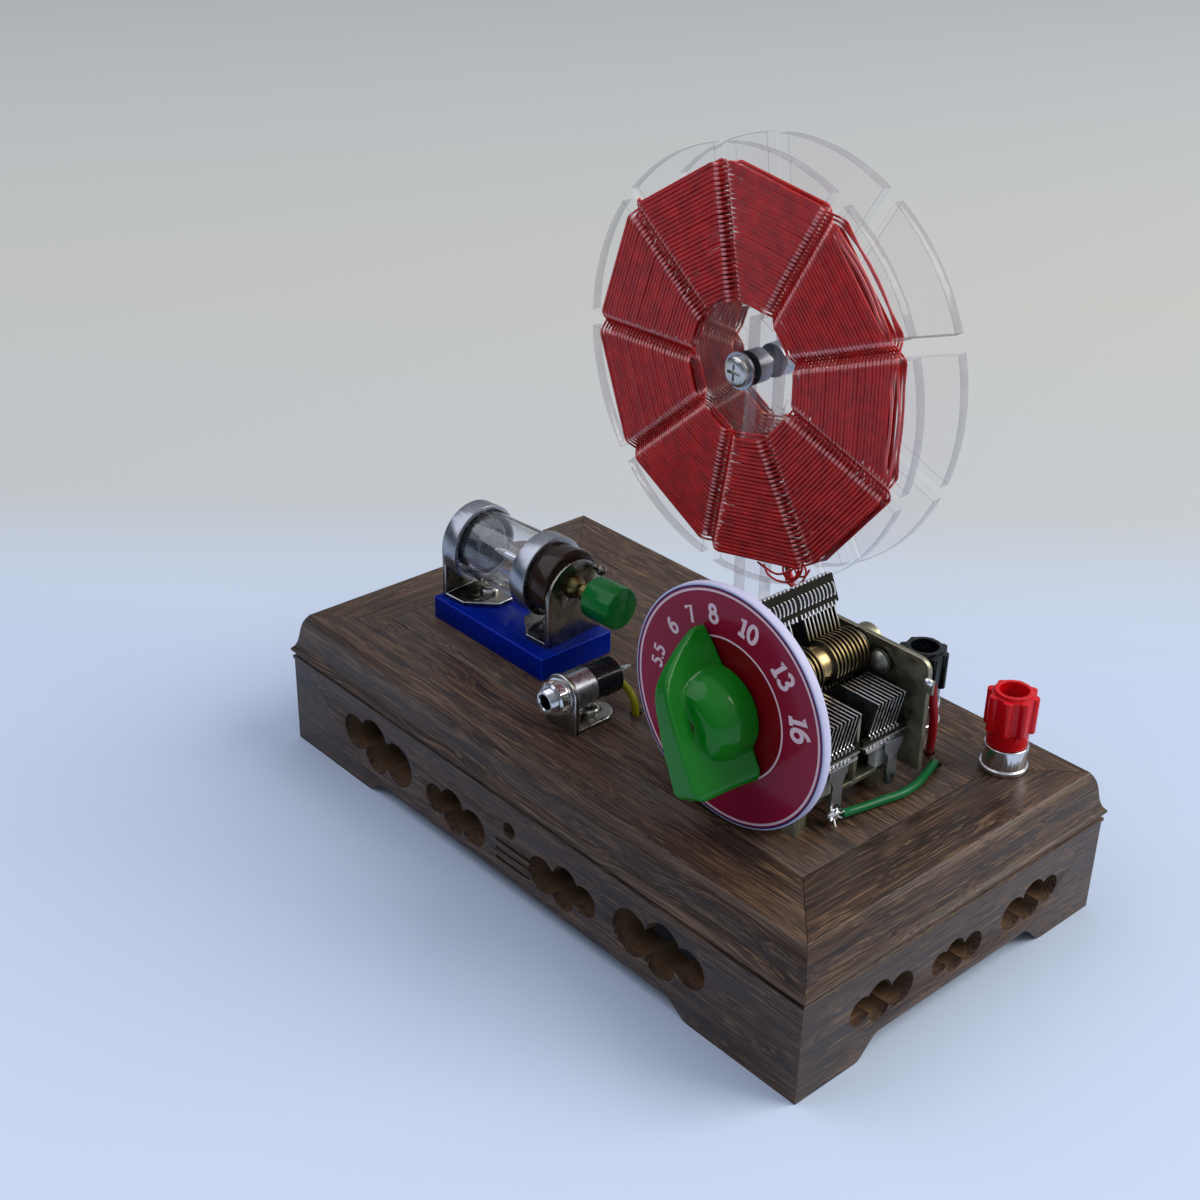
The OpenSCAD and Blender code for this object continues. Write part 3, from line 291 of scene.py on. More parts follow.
def metal(name, colour, dull, rough, grainSize=1.6, tarnish=0.3, stretch=(1, 1, 1), depth=0.004):
    # Bare or plated metal: fine marks of rolling or turning, with duller patches
    material, tree, spot = startMaterial(name)
    squeezed = addNode(tree, "Mapping", {"Scale": stretch}, {"Vector": spot})
    marks = addNode(tree, "TexNoise", {"Scale": scaleOf(grainSize), "Detail": 2}, {"Vector": squeezed})
    patches = addNode(tree, "TexNoise", {"Scale": scaleOf(7), "Detail": 3}, {"Vector": spot})
    worn = addNode(tree, "ValToRGB", {"stops": [(0.42, 0.0), (0.68, tarnish)]}, {"Fac": patches})
    shade = addNode(tree, "Mix", {6: colour, 7: dull}, {0: worn})
    polish = addNode(
        tree,
        "MapRange",
        {"To Min": rough * 0.75, "To Max": rough * 1.4},
        {"Value": marks},
    )
    uneven = addNode(tree, "Bump", {"Strength": 0.5, "Distance": depth * mm}, {"Height": marks})
    coverWith(tree, {"Metallic": 1.0}, {"Base Color": shade, "Roughness": polish, "Normal": uneven})
    return material


def moulded(name, colour, shadeColour, rough, depth=0.015, coat=0.0, size=2.5, ior=1.36):
    # Injection-moulded plastic: an even colour with slight flow marks and a soft orange peel
    material, tree, spot = startMaterial(name)
    flow = addNode(tree, "TexNoise", {"Scale": scaleOf(size * 4), "Detail": 2}, {"Vector": spot})
    peel = addNode(tree, "TexNoise", {"Scale": scaleOf(size / 3), "Detail": 3}, {"Vector": spot})
    shade = addNode(tree, "Mix", {6: colour, 7: shadeColour}, {0: flow})
    gloss = addNode(tree, "MapRange", {"To Min": rough * 0.8, "To Max": rough * 1.25}, {"Value": peel})
    uneven = addNode(tree, "Bump", {"Strength": 0.5, "Distance": depth * mm}, {"Height": peel})
    coverWith(
        tree,
        {"IOR": ior, "Specular IOR Level": 0.2, "Coat Weight": coat, "Coat Roughness": 0.06},
        {"Base Color": shade, "Roughness": gloss, "Normal": uneven},
    )
    return material


def litzWire(name, deep, body, bright, bent):
    # Silk-lacquered litz: glossy strands, with a painted pale highlight where the wire bends over a slot's edge
    material, tree, spot = startMaterial(name)
    turns = addNode(tree, "TexNoise", {"Scale": scaleOf(3), "Detail": 3}, {"Vector": spot})
    strands = addNode(tree, "TexNoise", {"Scale": scaleOf(0.3), "Detail": 2}, {"Vector": spot})
    shade = addNode(
        tree,
        "ValToRGB",
        {"stops": [(0.3, deep), (0.5, body), (0.72, bright)]},
        {"Fac": turns},
    )
    stretched = addNode(tree, "Attribute", {"attribute_name": "stretched"}).outputs["Fac"]
    glintShare = addNode(tree, "Math", {"operation": "MULTIPLY", 1: 0.62}, {0: stretched})
    glinted = addNode(tree, "Mix", {7: bent}, {0: glintShare, 6: shade})
    uneven = addNode(tree, "Bump", {"Strength": 0.3, "Distance": 0.02 * mm}, {"Height": strands})
    coverWith(
        tree,
        {"Roughness": 0.36, "IOR": 1.36, "Coat Weight": 0.25, "Coat Roughness": 0.12},
        {"Base Color": glinted, "Normal": uneven},
    )
    return material


tunerAxis = Vector(joints["tuning"]["pos_m"])
dialFace = {
    "radius": 26.6,
    "navyFrom": 26.25,
    "hole": 5.1,
    "ease": 0.25,
    "lift": 0.03,
    "outerRing": 25.7,
    "outerWidth": 0.5,
    "innerRing": 15.8,
    "innerWidth": 0.4,
    "numberRadius": 20.7,
    "numberHeight": 4.5,
    "stroke": 0.5,
    "strokeFlatness": 0.06,
    # Each number, its angle from the top in degrees and its size
    "numbers": (
        ("5.5", -79.7, 0.66),
        ("6", -52.8, 0.76),
        ("7", -33.6, 0.8),
        ("8", -14.2, 0.86),
        ("10", 13.4, 0.94),
        ("13", 45.8, 1.0),
        ("16", 77.5, 1.05),
    ),
}


def dialLaminate():
    # Screen-printed laminate: deep red inside the ring line, purple-red band and a navy rim line outside
    material, tree, spot = startMaterial("printedLaminate")
    centred = addNode(tree, "Mapping", {"Location": (-tunerAxis.x, 0, -tunerAxis.z)}, {"Vector": spot})
    flat = addNode(tree, "VectorMath", {"operation": "MULTIPLY", 1: (1, 0, 1)}, {0: centred})
    radius = addNode(tree, "VectorMath", {"operation": "LENGTH"}, {0: flat})
    share = addNode(tree, "Math", {"operation": "DIVIDE", 1: dialFace["radius"] * mm}, {0: radius})
    ring = dialFace["innerRing"] / dialFace["radius"]
    navy = dialFace["navyFrom"] / dialFace["radius"]
    printed = addNode(
        tree,
        "ValToRGB",
        {"stops": [
            (0.0, "#640410"),
            (ring, "#6e0612"),
            (ring + 0.01, "#82102c"),
            (navy - 0.002, "#8a1336"),
            (navy, "#2a2a5c"),
        ]},
        {"Fac": share},
    )
    ink = addNode(tree, "TexNoise", {"Scale": scaleOf(1.2), "Detail": 3}, {"Vector": spot})
    shade = addNode(tree, "Mix", {"blend_type": "MULTIPLY", 0: 0.06}, {6: printed, 7: ink})
    uneven = addNode(tree, "Bump", {"Strength": 0.4, "Distance": 0.004 * mm}, {"Height": ink})
    coverWith(
        tree,
        {
            "Roughness": 0.16,
            "IOR": 1.4,
            "Specular IOR Level": 0.15,
            "Coat Weight": 0.12,
            "Coat Roughness": 0.04,
        },
        {"Base Color": shade, "Normal": uneven},
    )
    return material


materials = {
    # Laser-cut cast acrylic, unseen on its faces, with a painted mauve-grey reflection along its edges; a clear
    # drawn tube
    "clearAcrylic": clearSheet("clearAcrylic", "#fbfbfd", 1.015, 0.3),
    "clearAcrylicEdge": clearEdge("clearAcrylicEdge", "#453c43", "#a69da6"),
    "drawnGlass": clearSheet("drawnGlass", "#fafcff", 1.03, 1.0, 1.6, 0.0005),
    # Litz in red lacquer, and a browner red one on the rear winding
    # The last colour of each litz is the painted highlight at the slot bends
    "lacqueredLitz": litzWire("lacqueredLitz", "#960a0a", "#ae0f0e", "#c41810", "#ffb4b4"),
    "brownerLitz": litzWire("brownerLitz", "#8a2c16", "#a84024", "#bc5430", "#d8a890"),
    # Nickel plate: bright on small turned pieces, satin on caps; the folded sheet is painted darker, a painted
    # reflection of the dark wood, and its eased edges take polished nickel as a painted highlight
    "brightNickel": metal("brightNickel", "#c4c3be", "#8c8a82", 0.24, 1.6, 0.4),
    "darkReflectionNickel": metal("darkReflectionNickel", "#827e76", "#6a665c", 0.24, 3, 0.3, depth=0.0005),
    "polishedNickel": metal("polishedNickel", "#d8d9dc", "#a2a2a0", 0.15, 1.6, 0.3),
    "satinNickel": metal("satinNickel", "#9ea2aa", "#84847e", 0.28, 3, 0.3, depth=0.0005),
    # Zinc-plated steel, passivated olive; its eased edges are painted pale, a painted highlight
    "passivatedSteel": metal("passivatedSteel", "#96947f", "#6c6a58", 0.42, 2.4, 0.6, depth=0.008),
    "paleSteelEdgeHighlight": metal("paleSteelEdgeHighlight", "#d2ceb6", "#a09a84", 0.3, 1.2, 0.4),
    # Sheet aluminium: dull on the spring; the plates' faces are painted dark and their cut edges and tabs
    # near-white, painted shade and highlight; brown at the hub where old oil has dried
    "litEdgeAluminium": metal("litEdgeAluminium", "#f0f2f4", "#c8caca", 0.3, 1.2, 0.3),
    "shadedPlateAluminium": metal("shadedPlateAluminium", "#5c6064", "#4a4e52", 0.42, 2, 0.5),
    "dullAluminium": metal("dullAluminium", "#8e8f86", "#6c6e68", 0.42, 2.4, 0.6),
    "bronzedHub": metal("bronzedHub", "#82724f", "#5a4d34", 0.38, 1.6, 0.6),
    # Brass with the rings of the turning tool, and brass browned by age
    "turnedBrass": metal("turnedBrass", "#a8946a", "#6c5c3c", 0.28, 1, 0.6, (1, 6, 1)),
    "agedBrass": metal("agedBrass", "#8c7f54", "#4c4428", 0.3, 1.6, 0.7),
    # Tin solder, bright and lumpy; lead ore, blue-grey with cleaved glints
    "tinSolder": metal("tinSolder", "#eceef0", "#b4b6b8", 0.2, 1, 0.3, depth=0.03),
    "galena": metal("galena", "#6a7078", "#3a3a3c", 0.28, 1.6, 0.8, depth=0.06),
    # Steatite under a thin glaze: grey-white with a soft shine
    "glazedSteatite": moulded("glazedSteatite", "#d6d8d4", "#b9b8b0", 0.3, 0.02, 0.2),
    # Melamine laminate with a lilac-white core, printed in flat pale ink
    "printedLaminate": dialLaminate(),
    "laminateEdge": moulded("laminateEdge", "#cccce4", "#b2b2d2", 0.35, 0.006),
    "dialInk": moulded("dialInk", "#e0c4cc", "#d0b4bc", 0.3, 0.002),
    # ABS, moulded in a polished tool: deep green with clean highlights
    "greenAbs": moulded("greenAbs", "#0e7a1c", "#0a6214", 0.2, 0.006, 0.3, 4),
    "darkGreenAbs": moulded("darkGreenAbs", "#0a702c", "#086024", 0.22, 0.006, 0.2, 4),
    # Cast acrylic dyed in the mass: its faces look deep; the lighter blue on its eased edges is a painted
    # highlight
    "castBlueAcrylic": moulded("castBlueAcrylic", "#03208c", "#021766", 0.14, 0.004, 0.05, 4, 1.15),
    "castBlueEdge": moulded("castBlueEdge", "#1034c8", "#0a28a8", 0.25, 0.004, 0.08, 4),
    # Phenolic resin, turned and polished: brown-black with a soft shine
    "phenolic": moulded("phenolic", "#20140e", "#2c1c10", 0.2, 0.003, 0.3, 4),
    # Polystyrene caps, glossy from the mould
    "redPolystyrene": moulded("redPolystyrene", "#d00a18", "#b40812", 0.18, 0.006, 0.25, 4),
    "blackPolystyrene": moulded("blackPolystyrene", "#0c1118", "#080b10", 0.26, 0.001, 0.3, 4),
    # PVC insulation, extruded: waxy, a little uneven
    "greenPvc": moulded("greenPvc", "#0c6838", "#085028", 0.3, 0.01, 0.15, 1.5),
    "redPvc": moulded("redPvc", "#900a18", "#6c0610", 0.3, 0.01, 0.15, 1.5),
    "yellowPvc": moulded("yellowPvc", "#8c8c14", "#70700c", 0.34, 0.01, 0.15, 1.5),
    # Vulcanised fibre, stamped: matt brown-black
    "fibreComb": moulded("fibreComb", "#1c1810", "#14110a", 0.5, 0.01),
}
print("materials made:", len(materials))


# Helpers for pieces. An edge that turns by more than sharpAngle degrees is eased, and a face looks
# along an axis when that part of its normal is more than facing
sharpAngle = 30
facing = 0.9


def finishPiece(piece, body, replaced=()):
    bpy.context.scene.collection.objects.link(piece)
    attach(piece, body)
    if replaced:
        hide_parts(*replaced)
    return piece


def shadeSmooth(mesh, angle=35):
    for polygon in mesh.polygons:
        polygon.use_smooth = True
    mesh.set_sharp_from_angle(angle=math.radians(angle))


def meshPiece(name, verts, faces, material, body, replaced=(), angle=35):
    mesh = bpy.data.meshes.new(name)
    mesh.from_pydata([tuple(v) for v in verts], [], faces)
    mesh.validate()
    repair = bmesh.new()
    repair.from_mesh(mesh)
    bmesh.ops.recalc_face_normals(repair, faces=repair.faces)
    repair.to_mesh(mesh)
    repair.free()
    shadeSmooth(mesh, angle)
    mesh.materials.append(material)
    piece = bpy.data.objects.new(name, mesh)
    return finishPiece(piece, body, replaced)


def applyModifiers(piece):
    # Turns the piece's modifiers into plain mesh, so that nothing is left to evaluate
    state = bpy.context.evaluated_depsgraph_get()
    made = bpy.data.meshes.new_from_object(piece.evaluated_get(state), depsgraph=state)
    piece.modifiers.clear()
    piece.data = made


def softened(node, name, material, width, segments=2, edge=None):
    # A copy of a rigid piece with its sharp edges eased, as filed, cast or sanded edges are
    source = nodes[node]
    mesh = source.data.copy()
    work = bmesh.new()
    work.from_mesh(mesh)
    bmesh.ops.remove_doubles(work, verts=work.verts, dist=1e-6)
    bmesh.ops.dissolve_limit(
        work,
        angle_limit=math.radians(1),
        use_dissolve_boundaries=False,
        verts=work.verts,
        edges=work.edges,
    )
    for face in work.faces:
        face.material_index = 0
    work.to_mesh(mesh)
    work.free()
    mesh.materials.clear()
    mesh.materials.append(material)
    if edge:
        mesh.materials.append(edge)
    for polygon in mesh.polygons:
        polygon.use_smooth = True
    piece = bpy.data.objects.new(name, mesh)
    ease = piece.modifiers.new("ease", "BEVEL")
    ease.width = width * mm
    ease.segments = segments
    ease.limit_method = "ANGLE"
    ease.angle_limit = math.radians(sharpAngle)
    ease.use_clamp_overlap = True
    ease.harden_normals = True
    if edge:
        ease.material = 1
    finishPiece(piece, bodyOf[node], [node])
    applyModifiers(piece)
    return piece


def ringFaces(rings, sides, capped=True):
    # Quads between neighbouring rings of points, and a flat cap at each end
    faces = []
    for i in range(rings - 1):
        for k in range(sides):
            a = i * sides + k
            b = i * sides + (k + 1) % sides
            faces.append((a, b, b + sides, a + sides))
    if capped:
        faces.append(tuple(range(sides - 1, -1, -1)))
        faces.append(tuple(range((rings - 1) * sides, rings * sides)))
    return faces


def lathe(profile, centre, axis, sides=48):
    # Points (along, radius) in millimetres, turned round axis at centre
    along = Vector(axis).normalized()
    one = along.orthogonal().normalized()
    two = along.cross(one)
    verts = []
    for distance, radius in profile:
        for k in range(sides):
            turn = 2 * math.pi * k / sides
            out = one * math.cos(turn) + two * math.sin(turn)
            verts.append(centre + along * distance * mm + out * radius * mm)
    return verts, ringFaces(len(profile), sides, profile[0] != profile[-1])


def joined(*parts):
    verts = []
    faces = []
    for partVerts, partFaces in parts:
        shift = len(verts)
        verts.extend(partVerts)
        faces.extend(tuple(i + shift for i in face) for face in partFaces)
    return verts, faces


def sweep(path, radius, sides=8):
    # A round tube through the points of path, with its rings carried along without twist
    verts = []
    side = None
    for i, point in enumerate(path):
        before = path[max(i - 1, 0)]
        after = path[min(i + 1, len(path) - 1)]
        ahead = (after - before).normalized()
        if side is None:
            side = ahead.orthogonal().normalized()
        side = (side - ahead * side.dot(ahead)).normalized()
        other = ahead.cross(side)
        for k in range(sides):
            turn = 2 * math.pi * k / sides
            verts.append(point + (side * math.cos(turn) + other * math.sin(turn)) * radius)
    return verts, ringFaces(len(path), sides)


def smoothPath(points):
    # A curve through every point, from the points in millimetres
    steps = 8
    p = [Vector(point) * mm for point in points]
    p = [p[0] * 2 - p[1]] + p + [p[-1] * 2 - p[-2]]
    path = []
    for i in range(1, len(p) - 2):
        for k in range(steps):
            t = k / steps
            path.append(0.5 * (
                2 * p[i]
                + (p[i + 1] - p[i - 1]) * t
                + (2 * p[i - 1] - 5 * p[i] + 4 * p[i + 1] - p[i + 2]) * t ** 2
                + (3 * p[i] - p[i - 1] - 3 * p[i + 1] + p[i + 2]) * t ** 3
            ))
    path.append(p[-2])
    return path


def give(material, *names):
    for name in names:
        mesh = nodes[name].data
        mesh.materials.clear()
        mesh.materials.append(materials[material])
        for polygon in mesh.polygons:
            polygon.material_index = 0


# Stand
stand = {"ease": 0.35, "panelEase": 0.1, "apronEase": 0.55, "dullFrom": 0.9, "dullTo": 3.5}


def addStand():
    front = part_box("apron_front")[0].y
    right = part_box("apron_right")[1].x
    alongX = wengeWood("wengeAlongX", 0)
    alongY = wengeWood("wengeAlongY", 1)
    for node, timber, ease in (
        ("centre_panel", alongX, stand["panelEase"]),
        ("rail_front", alongX, stand["ease"]),
        ("rail_back", alongX, stand["ease"]),
        ("rail_left", alongY, stand["ease"]),
        ("rail_right", alongY, stand["ease"]),
    ):
        softened(node, node + "Wood", timber, ease)
    for side, grain, axis, face, inward in (
        ("Front", 0, "Y", front, 1),
        ("Back", 0, "Y", -front, -1),
        ("Left", 1, "X", -right, 1),
        ("Right", 1, "X", right, -1),
    ):
        depths = [face + inward * stand[key] * mm for key in ("dullFrom", "dullTo")]
        timber = wengeWood("carvedWenge" + side, grain, (axis, *depths))
        node = "apron_" + side.lower()
        softened(node, node + "Wood", timber, stand["apronEase"])


addStand()
print("stand dressed")


# Coils
coil = {
    "slots": 9,
    "inner": 15.8,
    "rim": 47,
    "formerEase": 0.1,
    "postEase": 0.22,
    "wireWide": 1.0,
    "wireThick": 0.5,
    "wireSides": 8,
    "uneven": 0.08,
    "slack": 0.14,
    # The painted highlight at each slot bend is scaled at random between these shares
    "stretch": (0.6, 1),
    "bow": (0.8, 3.4),
    "bowLift": 0.4,
    "bowSteps": (0.25, 0.4, 0.5, 0.6, 0.75),
    "bowFlat": 0.4,
    "bowGlint": 0.35,
    "tailRadius": 0.26,
    "front": {"turn": -11.5, "turns": 60, "outer": 46.4, "loose": (1, 2), "looseTurns": 4},
    "rear": {"turn": -9, "turns": 28, "outer": 30.2, "loose": (), "looseTurns": 0},
}
# How the wire goes through a slot: millimetres from its middle, share of the lift, flatness, share of the painted
# highlight
crossing = (
    (-3.2, 1.0, 1.0, 0.0),
    (-2.4, 1.0, 0.8, 0.1),
    (-2.15, 0.98, 0.5, 1.0),
    (-1.6, 0.82, 0.2, 1.0),
    (-1.3, 0.64, 0.1, 0.0),
    (0, 0, 0.1, 0.0),
    (1.3, -0.64, 0.1, 0.0),
    (1.6, -0.82, 0.2, 1.0),
    (2.15, -0.98, 0.5, 1.0),
    (2.4, -1.0, 0.8, 0.1),
    (3.2, -1.0, 1.0, 0.0),
)


def windingRings(former, look):
    # The centre, outward direction, flatness and painted highlight of the wire at each ring
    low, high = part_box(former)
    centre = (low + high) / 2
    lift = (high.y - low.y) / 2 + coil["wireThick"] / 2 * mm
    count = look["turns"] * coil["slots"]
    sector = 2 * math.pi / coil["slots"]
    uneven = coil["uneven"]
    rings = []
    random.seed(7)
    for i in range(count):
        grown = (look["outer"] - coil["inner"]) * i / count
        radius = coil["inner"] + grown + random.uniform(-uneven, uneven)
        face = -1 if i % 2 == 0 else 1
        middle = math.radians(look["turn"]) + sector * i
        slack = random.uniform(0, coil["slack"]) * mm
        for across, share, flat, stretched in crossing:
            angle = middle + math.asin(across / radius)
            out = Vector((math.sin(angle), 0, math.cos(angle)))
            along = centre + out * radius * mm + Vector((0, face * share * (lift + slack), 0))
            rings.append((along, out, flat, stretched * random.uniform(*coil["stretch"])))
        if i >= count - look["looseTurns"] * coil["slots"] and i % coil["slots"] in look["loose"]:
            # The last turns bow out between two slots, where they weren't pulled tight
            bow = random.uniform(*coil["bow"])
            for step in coil["bowSteps"]:
                angle = middle + sector * step
                away = radius * math.cos(sector / 2) / math.cos(angle - middle - sector / 2)
                away += bow * math.sin(math.pi * step)
                out = Vector((math.sin(angle), 0, math.cos(angle)))
                along = centre + out * away * mm + Vector((0, -face * (lift + coil["bowLift"] * mm), 0))
                rings.append((along, out, coil["bowFlat"], coil["bowGlint"]))
    return rings


def addWinding(name, rings, material, body, replaced):
    # A flattened tube through the rings: wide on the faces, round in the slots
    sides = coil["wireSides"]
    thick = coil["wireThick"]
    verts = []
    pointGlints = []
    for i, (spot, out, flat, stretched) in enumerate(rings):
        ahead = (rings[min(i + 1, len(rings) - 1)][0] - rings[max(i - 1, 0)][0]).normalized()
        wide = (out - ahead * out.dot(ahead)).normalized()
        deep = ahead.cross(wide)
        halfWide = (thick + (coil["wireWide"] - thick) * flat) / 2 * mm
        halfThick = thick / 2 * mm
        for k in range(sides):
            turn = 2 * math.pi * k / sides
            verts.append(spot + wide * math.cos(turn) * halfWide + deep * math.sin(turn) * halfThick)
            pointGlints.append(stretched)
    faces = ringFaces(len(rings), sides)
    piece = meshPiece(name, verts, faces, material, body, replaced, 80)
    # Each point carries its share of the painted highlight
    mark = piece.data.attributes.new("stretched", "FLOAT", "POINT")
    mark.data.foreach_set("value", pointGlints)
    return piece


def markRim(sheet, centre, reach):
    # The sawn rim outside the winding takes the painted edge reflection; light goes through the rest
    for polygon in sheet.data.polygons:
        away = polygon.center - centre
        if abs(polygon.normal.y) < facing and math.hypot(away.x, away.z) > reach:
            polygon.material_index = 1
    sheet.visible_shadow = False


def addCoils():
    clear = materials["clearAcrylic"]
    edge = materials["clearAcrylicEdge"]
    for side, material in (("front", "lacqueredLitz"), ("rear", "brownerLitz")):
        former = "former_" + side
        rings = windingRings(former, coil[side])
        addWinding("litz" + side.title(), rings, materials[material], "stand", ["winding_" + side])
        sheet = softened(former, side + "Former", clear, coil["formerEase"], edge=edge)
        low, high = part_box(former)
        markRim(sheet, (low + high) / 2, coil["rim"] * mm)
    post = softened("coil_post", "coilPostBar", clear, coil["postEase"], edge=edge)
    post.visible_shadow = False
    # The post's sides also take the painted edge reflection
    for polygon in post.data.polygons:
        if abs(polygon.normal.x) > facing:
            polygon.material_index = 1
    give("satinNickel", "coil_stack")
    give("brightNickel", "coil_bolt", "pan_screws", "post_angle")
    addTails()


# Loose ends of the front winding, between the lowest slot and the lead
tails = (
    (
        (26.6, 14.8, 74.6), (25.2, 15.2, 72.4), (22.6, 15.8, 71.2), (20.2, 17, 71.9),
        (17.6, 18.4, 71.6), (15, 19.6, 71),
    ),
    (
        (24.8, 14.6, 74.2), (22.4, 14.4, 71), (19.8, 14.9, 69.8), (18.6, 16.4, 71.2),
        (20.4, 17, 72.8), (23, 16.2, 73.4),
    ),
    ((23.6, 15, 75.2), (21.2, 15.6, 73.1), (18.6, 16.6, 73.4), (16.2, 18, 72.6), (14.8, 19.4, 71.6)),
    (
        (24.8, 14.4, 76.3), (24.6, 14, 72.8), (21.7, 14.2, 69.8), (17.5, 14.8, 68.2),
        (13.7, 15.4, 68.3), (11.9, 15.8, 70),
    ),
    (
        (24.1, 14.6, 76.2), (26.2, 14.2, 74.1), (25.1, 14, 71), (22.2, 14.4, 68.9),
        (19.7, 15, 69.5), (20.1, 15.6, 72.1),
    ),
    ((23.3, 14.5, 75.2), (21.7, 13.9, 72.7), (17.6, 14.2, 70.2), (13.3, 15, 69.8), (10, 15.8, 69.8)),
    ((24, 14.5, 75), (23.2, 14, 71.5), (20.3, 14.2, 70.5), (18.7, 14.8, 72), (19, 15.6, 73.9)),
)


def addTails():
    ends = []
    for points in tails:
        ends.append(sweep(smoothPath(points), coil["tailRadius"] * mm))
    verts, faces = joined(*ends)
    meshPiece("litzTails", verts, faces, materials["lacqueredLitz"], "stand")


addCoils()
print("coils wound")


# Tuning capacitor
tuner = {
    "pointer": -24,
    "pitch": 1.2,
    "hub": 7.5,
    "sheetEase": 0.2,
    "blockEase": 0.25,
    "statorGrow": 0.1,
    "rotorGrow": 0.05,
}
# The strip that spaces a gang's plates, along the pointer's direction and across it
comb = {
    "inner": 10.9,
    "outer": 17.3,
    "left": -1.95,
    "right": -0.42,
    "over": 0.05,
    "ease": 0.15,
    "margin": 0.55,
    "halfTab": 0.2,
    "outerTab": ((-0.4, 0.42), (-1.7, -0.7)),
    "innerTab": ((-0.6, 0.5), (-1.02, -0.32)),
    "hookAlong": 14,
    "hookReach": 1.5,
    "hookAcross": -0.3,
    "hookDeep": 0.55,
    "hookRadius": 0.17,
    "hookSteps": 8,
}
# The rail along a stator's ears, to the right of the shaft and below it
rail = {
    "inner": 14.1,
    "outer": 15.15,
    "top": -12.1,
    "low": -13.7,
    "gap": 0.15,
    "margin": 1.5,
    "halfTab": 0.22,
    "tabOver": 0.22,
    "tabBelow": 0.3,
    "tabAbove": 0.5,
    "glintStripInset": 0.3,
    "glintStripOver": 0.25,
    "glintStripThick": 0.22,
}
solder = {
    "tab": (65.3, 10.7, 64.4),
    "tabSize": (1.3, 1.1, 1.5),
    "lugShift": (0.5, 1.7, 0.4),
    "lugSize": (1.1, 1.7, 1.5),
    "core": 0.85,
    "bulge": 0.22,
    "bulges": 5,
    "strands": 7,
    "strandLong": (2, 2.9),
    "strandRadius": 0.26,
    "strandSpread": 0.3,
    "strandAhead": (0.1, 0.7),
    "strandRise": 0.25,
    "strandFlatness": 0.7,
}


def onRotor(along, across, y):
    # A point at the pointer's radius and sideways distance, in millimetres
    turn = math.radians(tuner["pointer"])
    x = along * math.sin(turn) + across * math.cos(turn)
    z = along * math.cos(turn) - across * math.sin(turn)
    return Vector((tunerAxis.x + x * mm, y, tunerAxis.z + z * mm))


def block(corner):
    # Eight corners, each from a function of three choices of 0 or 1, as a closed box
    verts = [corner(a, b, c) for a in (0, 1) for b, c in ((0, 0), (1, 0), (1, 1), (0, 1))]
    faces = [(3, 2, 1, 0), (4, 5, 6, 7), (0, 1, 5, 4), (1, 2, 6, 5), (2, 3, 7, 6), (3, 0, 4, 7)]
    return verts, faces


def rotorBlock(along, across, y):
    return block(lambda a, b, c: onRotor(along[a], across[b], y[c]))


def plateSteps(low, high, margin):
    # Where the plates of a gang stand between low and high along the shaft
    pitch = tuner["pitch"] * mm
    count = round((high - low - 2 * margin) / pitch) + 1
    return [low + margin + i * pitch for i in range(count)]


def addComb(node, name):
    low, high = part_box(node)
    over = comb["over"] * mm
    strip = (comb["left"], comb["right"])
    verts, faces = rotorBlock((comb["inner"], comb["outer"]), strip, (low.y - over, high.y + over))
    piece = meshPiece(name, verts, faces, materials["fibreComb"], "tuning_rotor")
    ease = piece.modifiers.new("ease", "BEVEL")
    ease.width = comb["ease"] * mm
    ease.segments = 2
    applyModifiers(piece)
    tips = []
    for y in plateSteps(low.y, high.y, comb["margin"] * mm):
        hook = []
        for k in range(comb["hookSteps"] + 1):
            # Each plate's tab is bent into a C against the strip
            turn = math.pi * (k / comb["hookSteps"] - 0.5)
            along = comb["hookAlong"] + comb["hookReach"] * math.sin(turn)
            deep = y + comb["hookDeep"] * mm * math.cos(turn)
            hook.append(onRotor(along, comb["hookAcross"], deep))
        tips.append(sweep(hook, comb["hookRadius"] * mm, 6))
        edge = (y - comb["halfTab"] * mm, y + comb["halfTab"] * mm)
        for end in ("outer", "inner"):
            (near, far), across = comb[end + "Tab"]
            tips.append(rotorBlock((comb[end] + near, comb[end] + far), across, edge))
    verts, faces = joined(*tips)
    # The tips take the near-white aluminium, a painted highlight
    meshPiece(name + "Tips", verts, faces, materials["litEdgeAluminium"], "tuning_rotor")


def addStatorRail(node, name, start, end):
    # A dark fibre rail along the ears of the stator plates, with the plates' tabs through it painted near-white as
    # a highlight, and a near-white strip under it, a painted highlight along the rail's lower edge
    low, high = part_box(node)

    def bar(x, y, z):
        return block(lambda a, b, c: Vector((tunerAxis.x + x[a] * mm, y[b], tunerAxis.z + z[c] * mm)))

    verts, faces = bar((rail["inner"], rail["outer"]), (start, end), (rail["low"], rail["top"]))
    meshPiece(name, verts, faces, materials["fibreComb"], "stand")
    # The strip under the rail is a painted highlight along its lower edge
    lip = (rail["inner"] + rail["glintStripInset"], rail["outer"] + rail["glintStripOver"])
    bright = [bar(lip, (start, end), (rail["low"] - rail["glintStripThick"], rail["low"]))]
    for y in plateSteps(low.y, high.y, rail["margin"] * mm):
        edge = (y - rail["halfTab"] * mm, y + rail["halfTab"] * mm)
        tab = (rail["top"] - rail["tabBelow"], rail["top"] + rail["tabAbove"])
        bright.append(bar((rail["inner"], rail["outer"] + rail["tabOver"]), edge, tab))
    verts, faces = joined(*bright)
    meshPiece(name + "Tabs", verts, faces, materials["litEdgeAluminium"], "stand")


